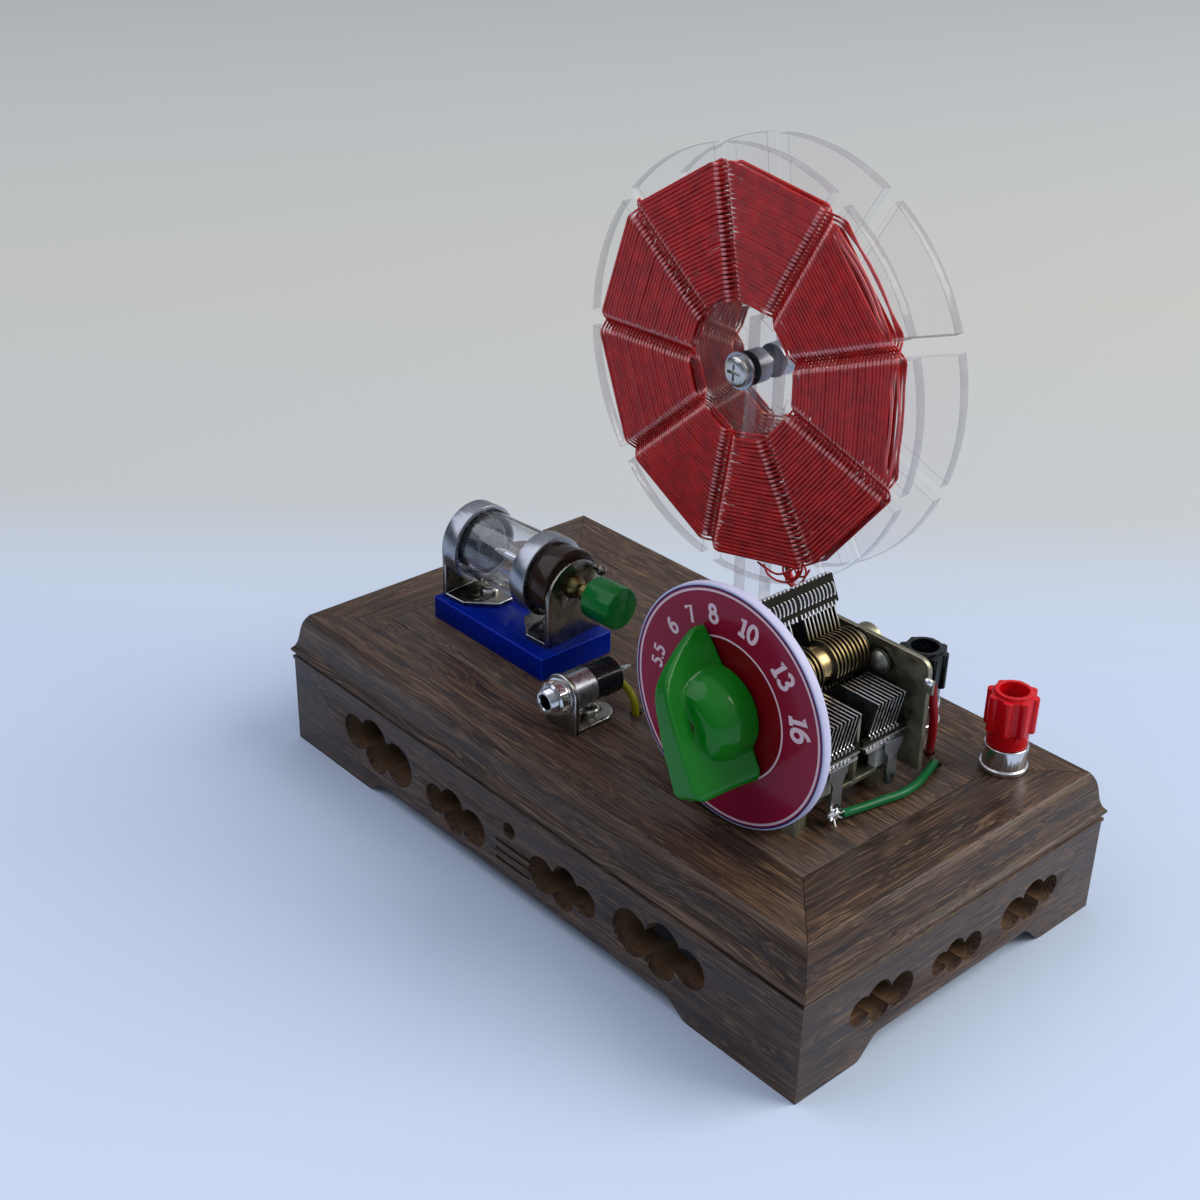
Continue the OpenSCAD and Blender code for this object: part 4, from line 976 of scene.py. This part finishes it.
def dressPlates(grow, *names):
    # The faces are painted dark and the edges near-white, painted shade and highlight, so that a stack shows as
    # bright lines.
    # Each plate is drawn a little thicker than it is, or its edge would be too fine to show
    for name in names:
        mesh = nodes[name].data.copy()
        mesh.materials.clear()
        for finish in ("shadedPlateAluminium", "litEdgeAluminium", "bronzedHub"):
            mesh.materials.append(materials[finish])
        push = {}
        for polygon in mesh.polygons:
            away = polygon.center - tunerAxis
            if abs(polygon.normal.y) > facing:
                polygon.material_index = 0
                for index in polygon.vertices:
                    push[index] = math.copysign(grow * mm, polygon.normal.y)
            else:
                polygon.material_index = 2 if math.hypot(away.x, away.z) < tuner["hub"] * mm else 1
        for index, move in push.items():
            mesh.vertices[index].co.y += move
        words = name.split("_")
        piece = bpy.data.objects.new(words[0] + words[1].title() + "Plates", mesh)
        finishPiece(piece, bodyOf[name], [name])


def addSolder(name, centre, size, seed):
    # A frozen drop of solder: a rounded lump drawn out towards the joint, not a ball
    work = bmesh.new()
    bmesh.ops.create_icosphere(work, subdivisions=3, radius=1)
    random.seed(seed)
    push = []
    for _ in range(solder["bulges"]):
        push.append(Vector([random.uniform(-1, 1) for axis in range(3)]).normalized())
    for vert in work.verts:
        bulge = sum(max(0, vert.co.dot(way)) ** 4 for way in push) * solder["bulge"]
        swell = solder["core"] + bulge
        vert.co = centre + Vector([part * swell * scale * mm for part, scale in zip(vert.co, size)])
    mesh = bpy.data.meshes.new(name)
    work.to_mesh(mesh)
    work.free()
    shadeSmooth(mesh, 60)
    mesh.materials.append(materials["tinSolder"])
    return finishPiece(bpy.data.objects.new(name, mesh), "stand")


def addStrands(centre):
    # Tinned strands of the wire's end stand out of the joint like a star
    strands = []
    spread = solder["strandSpread"]
    random.seed(11)
    for k in range(solder["strands"]):
        turn = 2 * math.pi * k / solder["strands"] + random.uniform(-spread, spread)
        rise = solder["strandRise"] + math.sin(turn) * solder["strandFlatness"]
        way = Vector((random.uniform(*solder["strandAhead"]), math.cos(turn), rise)).normalized()
        reach = way * random.uniform(*solder["strandLong"]) * mm
        path = [centre, centre + reach * 0.6, centre + reach]
        strands.append(sweep(path, solder["strandRadius"] * mm, 6))
    verts, faces = joined(*strands)
    meshPiece("solderStrands", verts, faces, materials["tinSolder"], "stand")


def addTuner():
    sheet = materials["passivatedSteel"]
    # The sheets' eased edges take the pale painted highlight
    edge = materials["paleSteelEdgeHighlight"]
    for side in ("front_plate", "rear_plate", "floor", "shield"):
        softened("tuner_" + side, side + "Sheet", sheet, tuner["sheetEase"], edge=edge)
    give("passivatedSteel", "tuner_spacers", "rear_bearing")
    give("brightNickel", "tuner_screws")
    give("satinNickel", "stator_lugs")
    give("turnedBrass", "front_bush", "rotor_shaft")
    dressPlates(tuner["statorGrow"], "stator_front", "stator_rear")
    dressPlates(tuner["rotorGrow"], "rotor_front", "rotor_rear")
    give("dullAluminium", "ground_spring")
    softened("ceramic_blocks", "steatiteBlocks", materials["glazedSteatite"], tuner["blockEase"])
    addComb("rotor_front", "combFront")
    addComb("rotor_rear", "combRear")
    shieldLow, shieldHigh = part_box("tuner_shield")
    gap = rail["gap"] * mm
    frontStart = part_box("tuner_front_plate")[1].y + gap
    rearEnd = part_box("tuner_rear_plate")[0].y - gap
    addStatorRail("stator_front", "railStatorFront", frontStart, shieldLow.y - gap)
    addStatorRail("stator_rear", "railStatorRear", shieldHigh.y + gap, rearEnd)
    addSolder("solderTab", Vector(solder["tab"]) * mm, solder["tabSize"], 3)
    low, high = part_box("stator_lugs")
    joint = Vector((high.x, low.y, low.z)) + Vector(solder["lugShift"]) * mm
    addSolder("solderLug", joint, solder["lugSize"], 5)
    addStrands(joint)


addTuner()
print("capacitor dressed")


# Dial
def arc(x, y, wide, high, start, end):
    # Part of an ellipse from start to end in degrees, as points some 12 degrees apart
    count = max(6, int(abs(end - start) / 12))
    turns = [math.radians(start + (end - start) * i / count) for i in range(count + 1)]
    return [(x + wide * math.cos(turn), y + high * math.sin(turn)) for turn in turns]


# Each digit's width and pen strokes on a grid of digitHeight, in a plain bold hand
digitHeight = 3
digitGap = 0.1
digits = {
    ".": (1.2, [[(0.4, 0.02), (0.7, 0.32)]]),
    "0": (2.1, [arc(1, 1.5, 0.78, 1.42, 90, 450)]),
    "1": (1.8, [[(0.3, 2.35), (0.98, 2.9), (0.98, 0.08)], [(0.3, 0.08), (1.6, 0.08)]]),
    "3": (2.0, [arc(0.85, 2.18, 0.68, 0.72, 150, -80), arc(0.85, 0.78, 0.82, 0.74, 85, -150)]),
    "5": (2.0, [[(1.55, 2.9), (0.4, 2.9), (0.34, 1.72)], arc(0.8, 0.92, 0.82, 0.88, 115, -150)]),
    "6": (2.1, [arc(1, 0.9, 0.78, 0.86, 0, 360), arc(1.5, 1.1, 1.28, 1.85, 190, 95)]),
    "7": (2.0, [[(0.2, 2.9), (1.75, 2.9), (0.75, 0)]]),
    "8": (2.1, [arc(1, 2.2, 0.62, 0.66, 90, 450), arc(1, 0.78, 0.8, 0.78, 90, 450)]),
}


def printedNumber(text, size):
    # Flattened strokes, centred on the origin, as ink stands a little proud of the print
    unit = size * dialFace["numberHeight"] / digitHeight
    width = sum(digits[sign][0] for sign in text) - digitGap
    left = -width / 2
    strokes = []
    for sign in text:
        advance, lines = digits[sign]
        for line in lines:
            path = [Vector((left + x, y - digitHeight / 2, 0)) * unit * mm for x, y in line]
            verts, faces = sweep(path, dialFace["stroke"] * size * mm, 12)
            flat = [Vector((v.x, v.y, v.z * dialFace["strokeFlatness"])) for v in verts]
            strokes.append((flat, faces))
        left += advance
    return joined(*strokes)


def addDial():
    softened("dial", "dialDisc", materials["laminateEdge"], dialFace["ease"])
    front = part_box("dial")[0].y
    centre = Vector((tunerAxis.x, front, tunerAxis.z))
    lift = dialFace["lift"]
    rim = dialFace["radius"]
    hole = dialFace["hole"]
    disc = [(0, hole), (-lift, hole), (-lift, rim), (0, rim), (0, hole)]
    verts, faces = lathe(disc, centre, (0, 1, 0), 128)
    meshPiece("dialPrint", verts, faces, materials["printedLaminate"], "stand")
    rings = []
    for line in ("outer", "inner"):
        low = dialFace[line + "Ring"] - dialFace[line + "Width"] / 2
        high = dialFace[line + "Ring"] + dialFace[line + "Width"] / 2
        ring = [(-lift, low), (-2 * lift, low), (-2 * lift, high), (-lift, high), (-lift, low)]
        rings.append(lathe(ring, centre, (0, 1, 0), 128))
    verts, faces = joined(*rings)
    meshPiece("dialRings", verts, faces, materials["dialInk"], "stand")
    for text, angle, size in dialFace["numbers"]:
        turn = math.radians(angle)
        out = Vector((math.sin(turn), 0, math.cos(turn))) * dialFace["numberRadius"] * mm
        verts, faces = printedNumber(text, size)
        upright = Matrix.Rotation(turn, 4, "Y") @ Matrix.Rotation(math.pi / 2, 4, "X")
        move = Matrix.Translation(centre + out + Vector((0, -lift * mm, 0))) @ upright
        verts = [move @ vert for vert in verts]
        name = "number" + text.replace(".", "point")
        meshPiece(name, verts, faces, materials["dialInk"], "stand")
    give("turnedBrass", "dial_nut")
    give("brightNickel", "knob_grub_screw")


addDial()
print("dial printed")


# Pointer knob: half widths and heights as (place along the pointer, value)
knob = {
    "tip": 18.4,
    "tail": -15.2,
    "crest": ((-15.2, 3.0), (-14.0, 3.4), (0, 2.6), (7.6, 1.9), (18.4, 0.8)),
    "base": (
        (-15.2, 5.4), (-14.4, 6.4), (-13, 6.9), (-8, 6.4),
        (0, 5.4), (8, 4.0), (14, 2.6), (18.4, 1.0),
    ),
    "top": (
        (-15.2, 12.8), (-14.8, 14.2), (-14.0, 15.2), (-12.6, 15.7), (-4, 16.0), (4, 15.9),
        (8, 15.4), (10.5, 14.2), (13, 11.6), (15.5, 8.2), (17.4, 4.9), (18.4, 2.8),
    ),
    "levels": (0, 0.08, 0.18, 0.3, 0.45, 0.62, 0.8, 0.93, 1),
    "stations": 40,
    "flare": 2.0,
    # Outline of the round hub under the pointer, as (height, radius)
    "dome": (
        (0, 0), (0, 10.3), (2.6, 10.3), (5.2, 10.1), (7.6, 9.4),
        (9.4, 8.4), (10.6, 7.2), (11.1, 6), (11.1, 4.6), (10.8, 0),
    ),
    "recess": (8.4, 2.2),
    "bore": (3.05, 11.8),
    "voxel": 0.28,
    "smoothing": 0.6,
    "passes": 9,
}


def between(table, s):
    for (s0, v0), (s1, v1) in zip(table, table[1:]):
        if s <= s1:
            return v0 + (v1 - v0) * (s - s0) / (s1 - s0)
    return table[-1][1]


def knobPoint(base, s, across, height):
    spot = onRotor(s, across, 0)
    return Vector((spot.x, base - height * mm, spot.z))


def addKnob():
    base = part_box("tuning_knob")[1].y
    centre = Vector((tunerAxis.x, base, tunerAxis.z))
    verts = []
    rows = knob["stations"] + 1
    levels = knob["levels"]
    for i in range(rows):
        s = knob["tail"] + (knob["tip"] - knob["tail"]) * i / knob["stations"]
        high = between(knob["top"], s)
        wide = between(knob["base"], s)
        narrow = between(knob["crest"], s)
        for side, steps in ((-1, levels), (1, levels[::-1])):
            for level in steps:
                half = narrow + (wide - narrow) * (1 - level) ** knob["flare"]
                verts.append(knobPoint(base, s, side * half, high * level))
    pointer = (verts, ringFaces(rows, 2 * len(levels)))
    verts, faces = joined(pointer, lathe(knob["dome"], centre, (0, -1, 0), 64))
    green = materials["greenAbs"]
    piece = meshPiece("pointerKnob", verts, faces, green, "tuning_rotor", ["tuning_knob"])
    fuse = piece.modifiers.new("fuse", "REMESH")
    fuse.mode = "VOXEL"
    fuse.voxel_size = knob["voxel"] * mm
    soften = piece.modifiers.new("soften", "SMOOTH")
    soften.factor = knob["smoothing"]
    soften.iterations = knob["passes"]
    applyModifiers(piece)
    cutters = []
    for radius, depth in (knob["recess"], knob["bore"]):
        cutVerts, cutFaces = lathe([(-1, radius), (depth, radius)], centre, (0, -1, 0), 48)
        mesh = bpy.data.meshes.new("cutter")
        mesh.from_pydata([tuple(v) for v in cutVerts], [], cutFaces)
        cutter = bpy.data.objects.new("cutter", mesh)
        bpy.context.scene.collection.objects.link(cutter)
        drill = piece.modifiers.new("drill", "BOOLEAN")
        drill.operation = "DIFFERENCE"
        drill.object = cutter
        cutters.append(cutter)
    applyModifiers(piece)
    for cutter in cutters:
        bpy.data.objects.remove(cutter)
    shadeSmooth(piece.data, 50)


addKnob()
print("knob moulded")


# Detector
# How far the edges of each piece are eased, in millimetres
detector = {"block": 0.4, "plate": 0.16, "cap": 0.3, "bush": 0.5, "tube": 0.15, "grip": 0.35}
# The contact wire's cone, from the ball's middle inwards
whisker = {"start": 24.2, "end": 27.7, "wide": 0.95, "narrow": 0.22, "wire": 0.17, "turns": 7, "steps": 16}


def addSpring():
    # The fine contact wire is wound as a small cone in front of the rod
    pivot = Vector(joints["whisker_spin"]["pos_m"])
    inward = -Vector(joints["whisker_spin"]["axis"]).normalized()
    one = inward.orthogonal().normalized()
    two = inward.cross(one)
    path = []
    count = whisker["turns"] * whisker["steps"]
    for i in range(count + 1):
        t = i / count
        turn = 2 * math.pi * whisker["turns"] * t
        radius = (whisker["wide"] + (whisker["narrow"] - whisker["wide"]) * t) * mm
        reach = (whisker["start"] + (whisker["end"] - whisker["start"]) * t) * mm
        path.append(pivot + inward * reach + (one * math.cos(turn) + two * math.sin(turn)) * radius)
    verts, faces = sweep(path, whisker["wire"] * mm, 6)
    arm = "whisker_arm"
    meshPiece("whiskerSpring", verts, faces, materials["polishedNickel"], bodyOf[arm])


def addDetector():
    # The block's eased edges take the lighter blue, a painted highlight
    edge = materials["castBlueEdge"]
    softened("detector_block", "blueBlock", materials["castBlueAcrylic"], detector["block"], edge=edge)
    for side in ("left", "right"):
        plate = "bracket" + side[0].upper() + side[1:] + "Plate"
        # The brackets are painted darker, a painted reflection of the dark wood, with a painted highlight of
        # polished nickel on their eased edges
        bright = materials["polishedNickel"]
        softened("bracket_" + side, plate, materials["darkReflectionNickel"], detector["plate"], edge=bright)
    for side in ("left", "right"):
        cap = "nickelCap" + side.title()
        softened("tube_cap_" + side, cap, materials["satinNickel"], detector["cap"], 3)
    softened("insulator", "phenolicBush", materials["phenolic"], detector["bush"], 3)
    tube = softened("glass_tube", "glassSleeve", materials["drawnGlass"], detector["tube"])
    tube.visible_shadow = False
    give("agedBrass", "swivel_ball", "whisker_collar")
    give("satinNickel", "crystal_cup")
    addSpring()
    give("galena", "crystal")
    give("polishedNickel", "whisker_arm")
    softened("whisker_knob", "whiskerGrip", materials["darkGreenAbs"], detector["grip"], 3)


addDetector()
print("detector dressed")


# Headphone jack, turned from the front of its bush to the end of its lugs
jack = {
    "plate": 5.0,
    "plateThick": 1.2,
    "nutFront": 1.8,
    "barrelEnd": 12.9,
    "insulatorEnd": 20.8,
    "bush": 3.0,
    "root": 2.8,
    "hollow": 2.2,
    "socket": 1.8,
    "socketLip": 4,
    "nut": 4.0,
    "flange": 4.5,
    "barrel": 4.6,
    "shell": 2.0,
    "insulator": 4.4,
    "tip": 0.6,
    "tipEnd": 17,
    "thread": 0.45,
    "knurls": 40,
    "knurlRadius": 0.16,
    "sunk": 0.02,
    "bracketEase": 0.18,
    "socketChamfer": (0.25, 0.3),
    "mouthChamfer": 0.2,
    "threads": 10,
    "threadStart": 0.3,
    "threadDepths": (0.02, 0.24),
    "nutChamfer": (0.4, 0.5),
    "nutBack": 0.9,
    "neck": 0.2,
    "flangeThick": 0.5,
    "barrelChamfer": 0.3,
    "barrelEndChamfer": 0.35,
    "insulatorChamfer": 0.5,
}
lug = {
    "steps": 6,
    "long": 3.2,
    "apart": 2.2,
    "high": 0.8,
    "staggered": 1.2,
    "halfWide": 0.95,
    "taper": 0.35,
    "halfThick": 0.22,
    "twist": 0.5,
    "sunk": 0.1,
}


def turnedPart(name, profiles, centre, material):
    verts, faces = joined(*[lathe(profile, centre, (0, 1, 0), 64) for profile in profiles])
    meshPiece(name, verts, faces, materials[material], "stand", ["jack_body"], 30)


def addLugs(centre):
    # Each lug is a narrow strip, twisted a little and tinned
    lugs = []
    for side in (-1, 1):
        verts = []
        for i in range(lug["steps"] + 1):
            t = i / lug["steps"]
            twist = side * lug["twist"] * t
            half = (lug["halfWide"] - lug["taper"] * t) * mm
            reach = jack["insulatorEnd"] - lug["sunk"] + lug["long"] * t
            spot = centre + Vector((side * lug["apart"], reach, lug["high"] + side * lug["staggered"])) * mm
            wide = Vector((math.cos(twist), 0, math.sin(twist))) * half
            thick = Vector((-math.sin(twist), 0, math.cos(twist))) * lug["halfThick"] * mm
            verts += [spot + wide + thick, spot - wide + thick, spot - wide - thick, spot + wide - thick]
        lugs.append((verts, ringFaces(lug["steps"] + 1, 4)))
    verts, faces = joined(*lugs)
    meshPiece("jackLugs", verts, faces, materials["tinSolder"], "stand", ["jack_body"])


def addJack():
    low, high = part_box("jack_body")
    centre = Vector(((low.x + high.x) / 2, low.y, (low.z + high.z) / 2))
    plate = jack["plate"]
    lip = jack["socketLip"]
    deep, wide = jack["socketChamfer"]
    chamfer = jack["mouthChamfer"]
    bush = [
        (lip, jack["socket"]),
        (deep, jack["socket"]),
        (0, jack["socket"] + wide),
        (0, jack["root"] - chamfer),
        (chamfer, jack["root"]),
    ]
    step = jack["thread"] / 2
    crest, valley = jack["threadDepths"]
    for i in range(jack["threads"]):
        # The thread, drawn a little finer than the real 0.5 mm pitch
        bush.append((jack["threadStart"] + step * (2 * i + 0.5), jack["bush"] - crest))
        bush.append((jack["threadStart"] + step * (2 * i + 1.5), jack["bush"] - valley))
    bush += [(plate, jack["root"]), (plate, jack["hollow"]), (lip, jack["hollow"]), (lip, jack["socket"])]
    deep, wide = jack["nutChamfer"]
    front = jack["nutFront"] + deep
    back = plate - jack["nutBack"]
    neck = jack["neck"]
    nut = [
        (jack["nutFront"], jack["bush"]),
        (jack["nutFront"], jack["nut"] - wide),
        (front, jack["nut"]),
        (back, jack["nut"]),
        (back + neck, jack["nut"] - neck),
        (plate - jack["flangeThick"], jack["flange"]),
        (plate, jack["flange"]),
        (plate, jack["bush"]),
        (jack["nutFront"], jack["bush"]),
    ]
    start = plate + jack["plateThick"]
    end = jack["barrelEnd"]
    chamfer = jack["barrelChamfer"]
    ease = jack["barrelEndChamfer"]
    barrel = [
        (start, jack["bush"]),
        (start, jack["barrel"] - chamfer),
        (start + chamfer, jack["barrel"]),
        (end - ease, jack["barrel"]),
        (end, jack["barrel"] - ease),
        (end, jack["shell"]),
        (start, jack["shell"]),
        (start, jack["bush"]),
    ]
    first = end + jack["sunk"]
    ease = jack["insulatorChamfer"]
    sleeve = [
        (first, jack["shell"]),
        (first, jack["insulator"]),
        (jack["insulatorEnd"] - ease, jack["insulator"]),
        (jack["insulatorEnd"], jack["insulator"] - ease),
        (jack["insulatorEnd"], jack["tip"]),
        (jack["tipEnd"], jack["tip"]),
        (jack["tipEnd"], jack["shell"]),
        (first, jack["shell"]),
    ]
    turnedPart("jackBush", (bush, nut), centre, "polishedNickel")
    turnedPart("jackBarrel", (barrel,), centre, "satinNickel")
    turnedPart("jackSleeve", (sleeve,), centre, "blackPolystyrene")
    knurls = []
    for k in range(jack["knurls"]):
        # Knurling of the nut, a ridge every 0.6 mm of its rim
        turn = 2 * math.pi * k / jack["knurls"]
        out = Vector((math.cos(turn), 0, math.sin(turn)))
        rim = centre + out * (jack["nut"] - jack["sunk"]) * mm
        ridge = [rim + Vector((0, y * mm, 0)) for y in (front, back)]
        knurls.append(sweep(ridge, jack["knurlRadius"] * mm, 6))
    verts, faces = joined(*knurls)
    meshPiece("jackKnurl", verts, faces, materials["brightNickel"], "stand")
    addLugs(centre)
    # The bracket is painted darker, a painted reflection of the dark wood, with a painted highlight of polished
    # nickel on its eased edges
    edge = materials["polishedNickel"]
    softened("jack_bracket", "jackBracketPlate", materials["darkReflectionNickel"], jack["bracketEase"], edge=edge)


addJack()
print("jack dressed")


# Binding posts
posts = {"capEase": 0.3, "collarEase": 0.35}


def addPosts():
    for colour, material in (("red", "redPolystyrene"), ("black", "blackPolystyrene")):
        softened(colour + "_cap", colour + "CapGrip", materials[material], posts["capEase"], 3)
        steel = materials["polishedNickel"]
        softened(colour + "_post", colour + "PostCollar", steel, posts["collarEase"], 3)
        give("turnedBrass", colour + "_insert")


addPosts()
print("posts dressed")


# Wires, on the routes that the solids follow
wires = {
    "green": {
        "material": "greenPvc",
        "radius": 1.0,
        "points": (
            (62.9, -11, 39.2), (62.8, -8.5, 38.6), (63.2, -5, 38.2), (64.2, 0.6, 38.1),
            (65.3, 6.2, 38.1), (65, 11.5, 38.1), (63.8, 16.5, 38.4), (62.4, 20.4, 38.3),
            (61.6, 22.2, 37.2), (61.6, 22.4, 35), (61.6, 22.4, 29.5),
        ),
    },
    "red": {
        "material": "redPvc",
        "radius": 1.0,
        "points": (
            (64.8, 13.3, 62.2), (64.8, 13.8, 59.6), (65, 14.6, 55.2), (64.6, 15.6, 49.8),
            (63.2, 17.4, 44.8), (60.6, 21, 41), (58.2, 24.2, 38.4), (57.4, 25.2, 35), (57.4, 25.2, 29.5),
        ),
    },
    "yellow": {
        "material": "yellowPvc",
        "radius": 0.9,
        "points": (
            (-2.4, -14.9, 43.2), (-0.6, -14.4, 42), (1.4, -14.5, 40.4),
            (2.2, -14.6, 38), (2.4, -14.6, 35), (2.4, -14.6, 29.5),
        ),
    },
    "lead": {
        "material": "lacqueredLitz",
        "radius": 0.7,
        "points": (
            (14.4, 19.6, 72.5), (15, 20.6, 69), (16.4, 22, 63), (17.6, 23.4, 57), (19, 24.6, 49),
            (20.6, 25.3, 42), (21.4, 25.5, 38), (21.5, 25.5, 35), (21.5, 25.5, 29.5),
        ),
    },
}


def addWires():
    for colour, wire in wires.items():
        verts, faces = sweep(smoothPath(wire["points"]), wire["radius"] * mm, 12)
        cover = materials[wire["material"]]
        meshPiece(colour + "Wire", verts, faces, cover, "stand", ["wiring"])


addWires()
print("wires laid")


# Floor and light
room = {
    "reach": 30,
    "start": -0.15,
    "end": 0.95,
    "floor": (
        (0.0, "#c4d3ea"),
        (0.2, "#bccbe2"),
        (0.25, "#bcc8d8"),
        (0.3, "#bcc0c2"),
        (0.5, "#bec0bb"),
        (0.95, "#bcc0c1"),
    ),
    "bright": (0.3, 0.42, 0.86),
    "sky": (
        (0.0, "#7c8698"),
        (0.35, "#646e7e"),
        (0.5, "#808896"),
        (0.66, "#b4bac4"),
        (1.0, "#f4f6fb"),
    ),
    "strength": 0.75,
    "aim": (0, 0, 0.05),
    # Each lamp's name, place in metres, width in metres, power and colour
    "lamps": (
        ("window", (1.2, 1.2, 1.5), 1.5, 40, "#fffaf2"),
        ("ceiling", (-0.7, -0.6, 1.2), 1.4, 8, "#f4f4ff"),
    ),
}


def addFloor():
    # A pale table top, bluish near the camera and warmer beyond
    material, tree, spot = startMaterial("paleFloor")
    azimuth = math.radians(camera["azimuth"])
    away = addNode(
        tree,
        "VectorMath",
        {"operation": "DOT_PRODUCT", 1: (-math.sin(azimuth), math.cos(azimuth), 0)},
        {0: spot},
    )
    fade = addNode(
        tree,
        "MapRange",
        {"From Min": room["start"], "From Max": room["end"]},
        {"Value": away},
    )
    shade = addNode(tree, "ValToRGB", {"stops": room["floor"]}, {"Fac": fade})
    coverWith(tree, {"Roughness": 0.6, "Specular IOR Level": 0.2}, {"Base Color": shade})
    reach = room["reach"]
    corners = [(-reach, -reach, 0), (reach, -reach, 0), (reach, reach, 0), (-reach, reach, 0)]
    mesh = bpy.data.meshes.new("floor")
    mesh.from_pydata(corners, [], [(0, 1, 2, 3)])
    mesh.materials.append(material)
    floor = bpy.data.objects.new("floor", mesh)
    bpy.context.scene.collection.objects.link(floor)


def addSky():
    # The room's own light, brighter towards its windows
    world = bpy.data.worlds.new("room")
    world.use_nodes = True
    bpy.context.scene.world = world
    tree = world.node_tree
    tree.nodes.clear()
    spot = addNode(tree, "TexCoord").outputs["Generated"]
    toBright = addNode(tree, "VectorMath", {"operation": "DOT_PRODUCT", 1: room["bright"]}, {0: spot})
    share = addNode(tree, "MapRange", {"From Min": -1, "From Max": 1}, {"Value": toBright})
    sky = addNode(tree, "ValToRGB", {"stops": room["sky"]}, {"Fac": share})
    shine = addNode(tree, "Background", {"Strength": room["strength"]}, {"Color": sky})
    addNode(tree, "OutputWorld", links={"Surface": shine})


def addLamps():
    for name, place, size, power, colour in room["lamps"]:
        data = bpy.data.lights.new(name, "AREA")
        data.size = size
        data.energy = power
        data.color = linear(colour)[:3]
        lamp = bpy.data.objects.new(name, data)
        lamp.location = place
        aim = Vector(room["aim"]) - Vector(place)
        lamp.rotation_euler = aim.to_track_quat("-Z", "Y").to_euler()
        bpy.context.scene.collection.objects.link(lamp)


addFloor()
addSky()
addLamps()
bpy.context.scene.view_settings.view_transform = "Standard"
print("room lit")
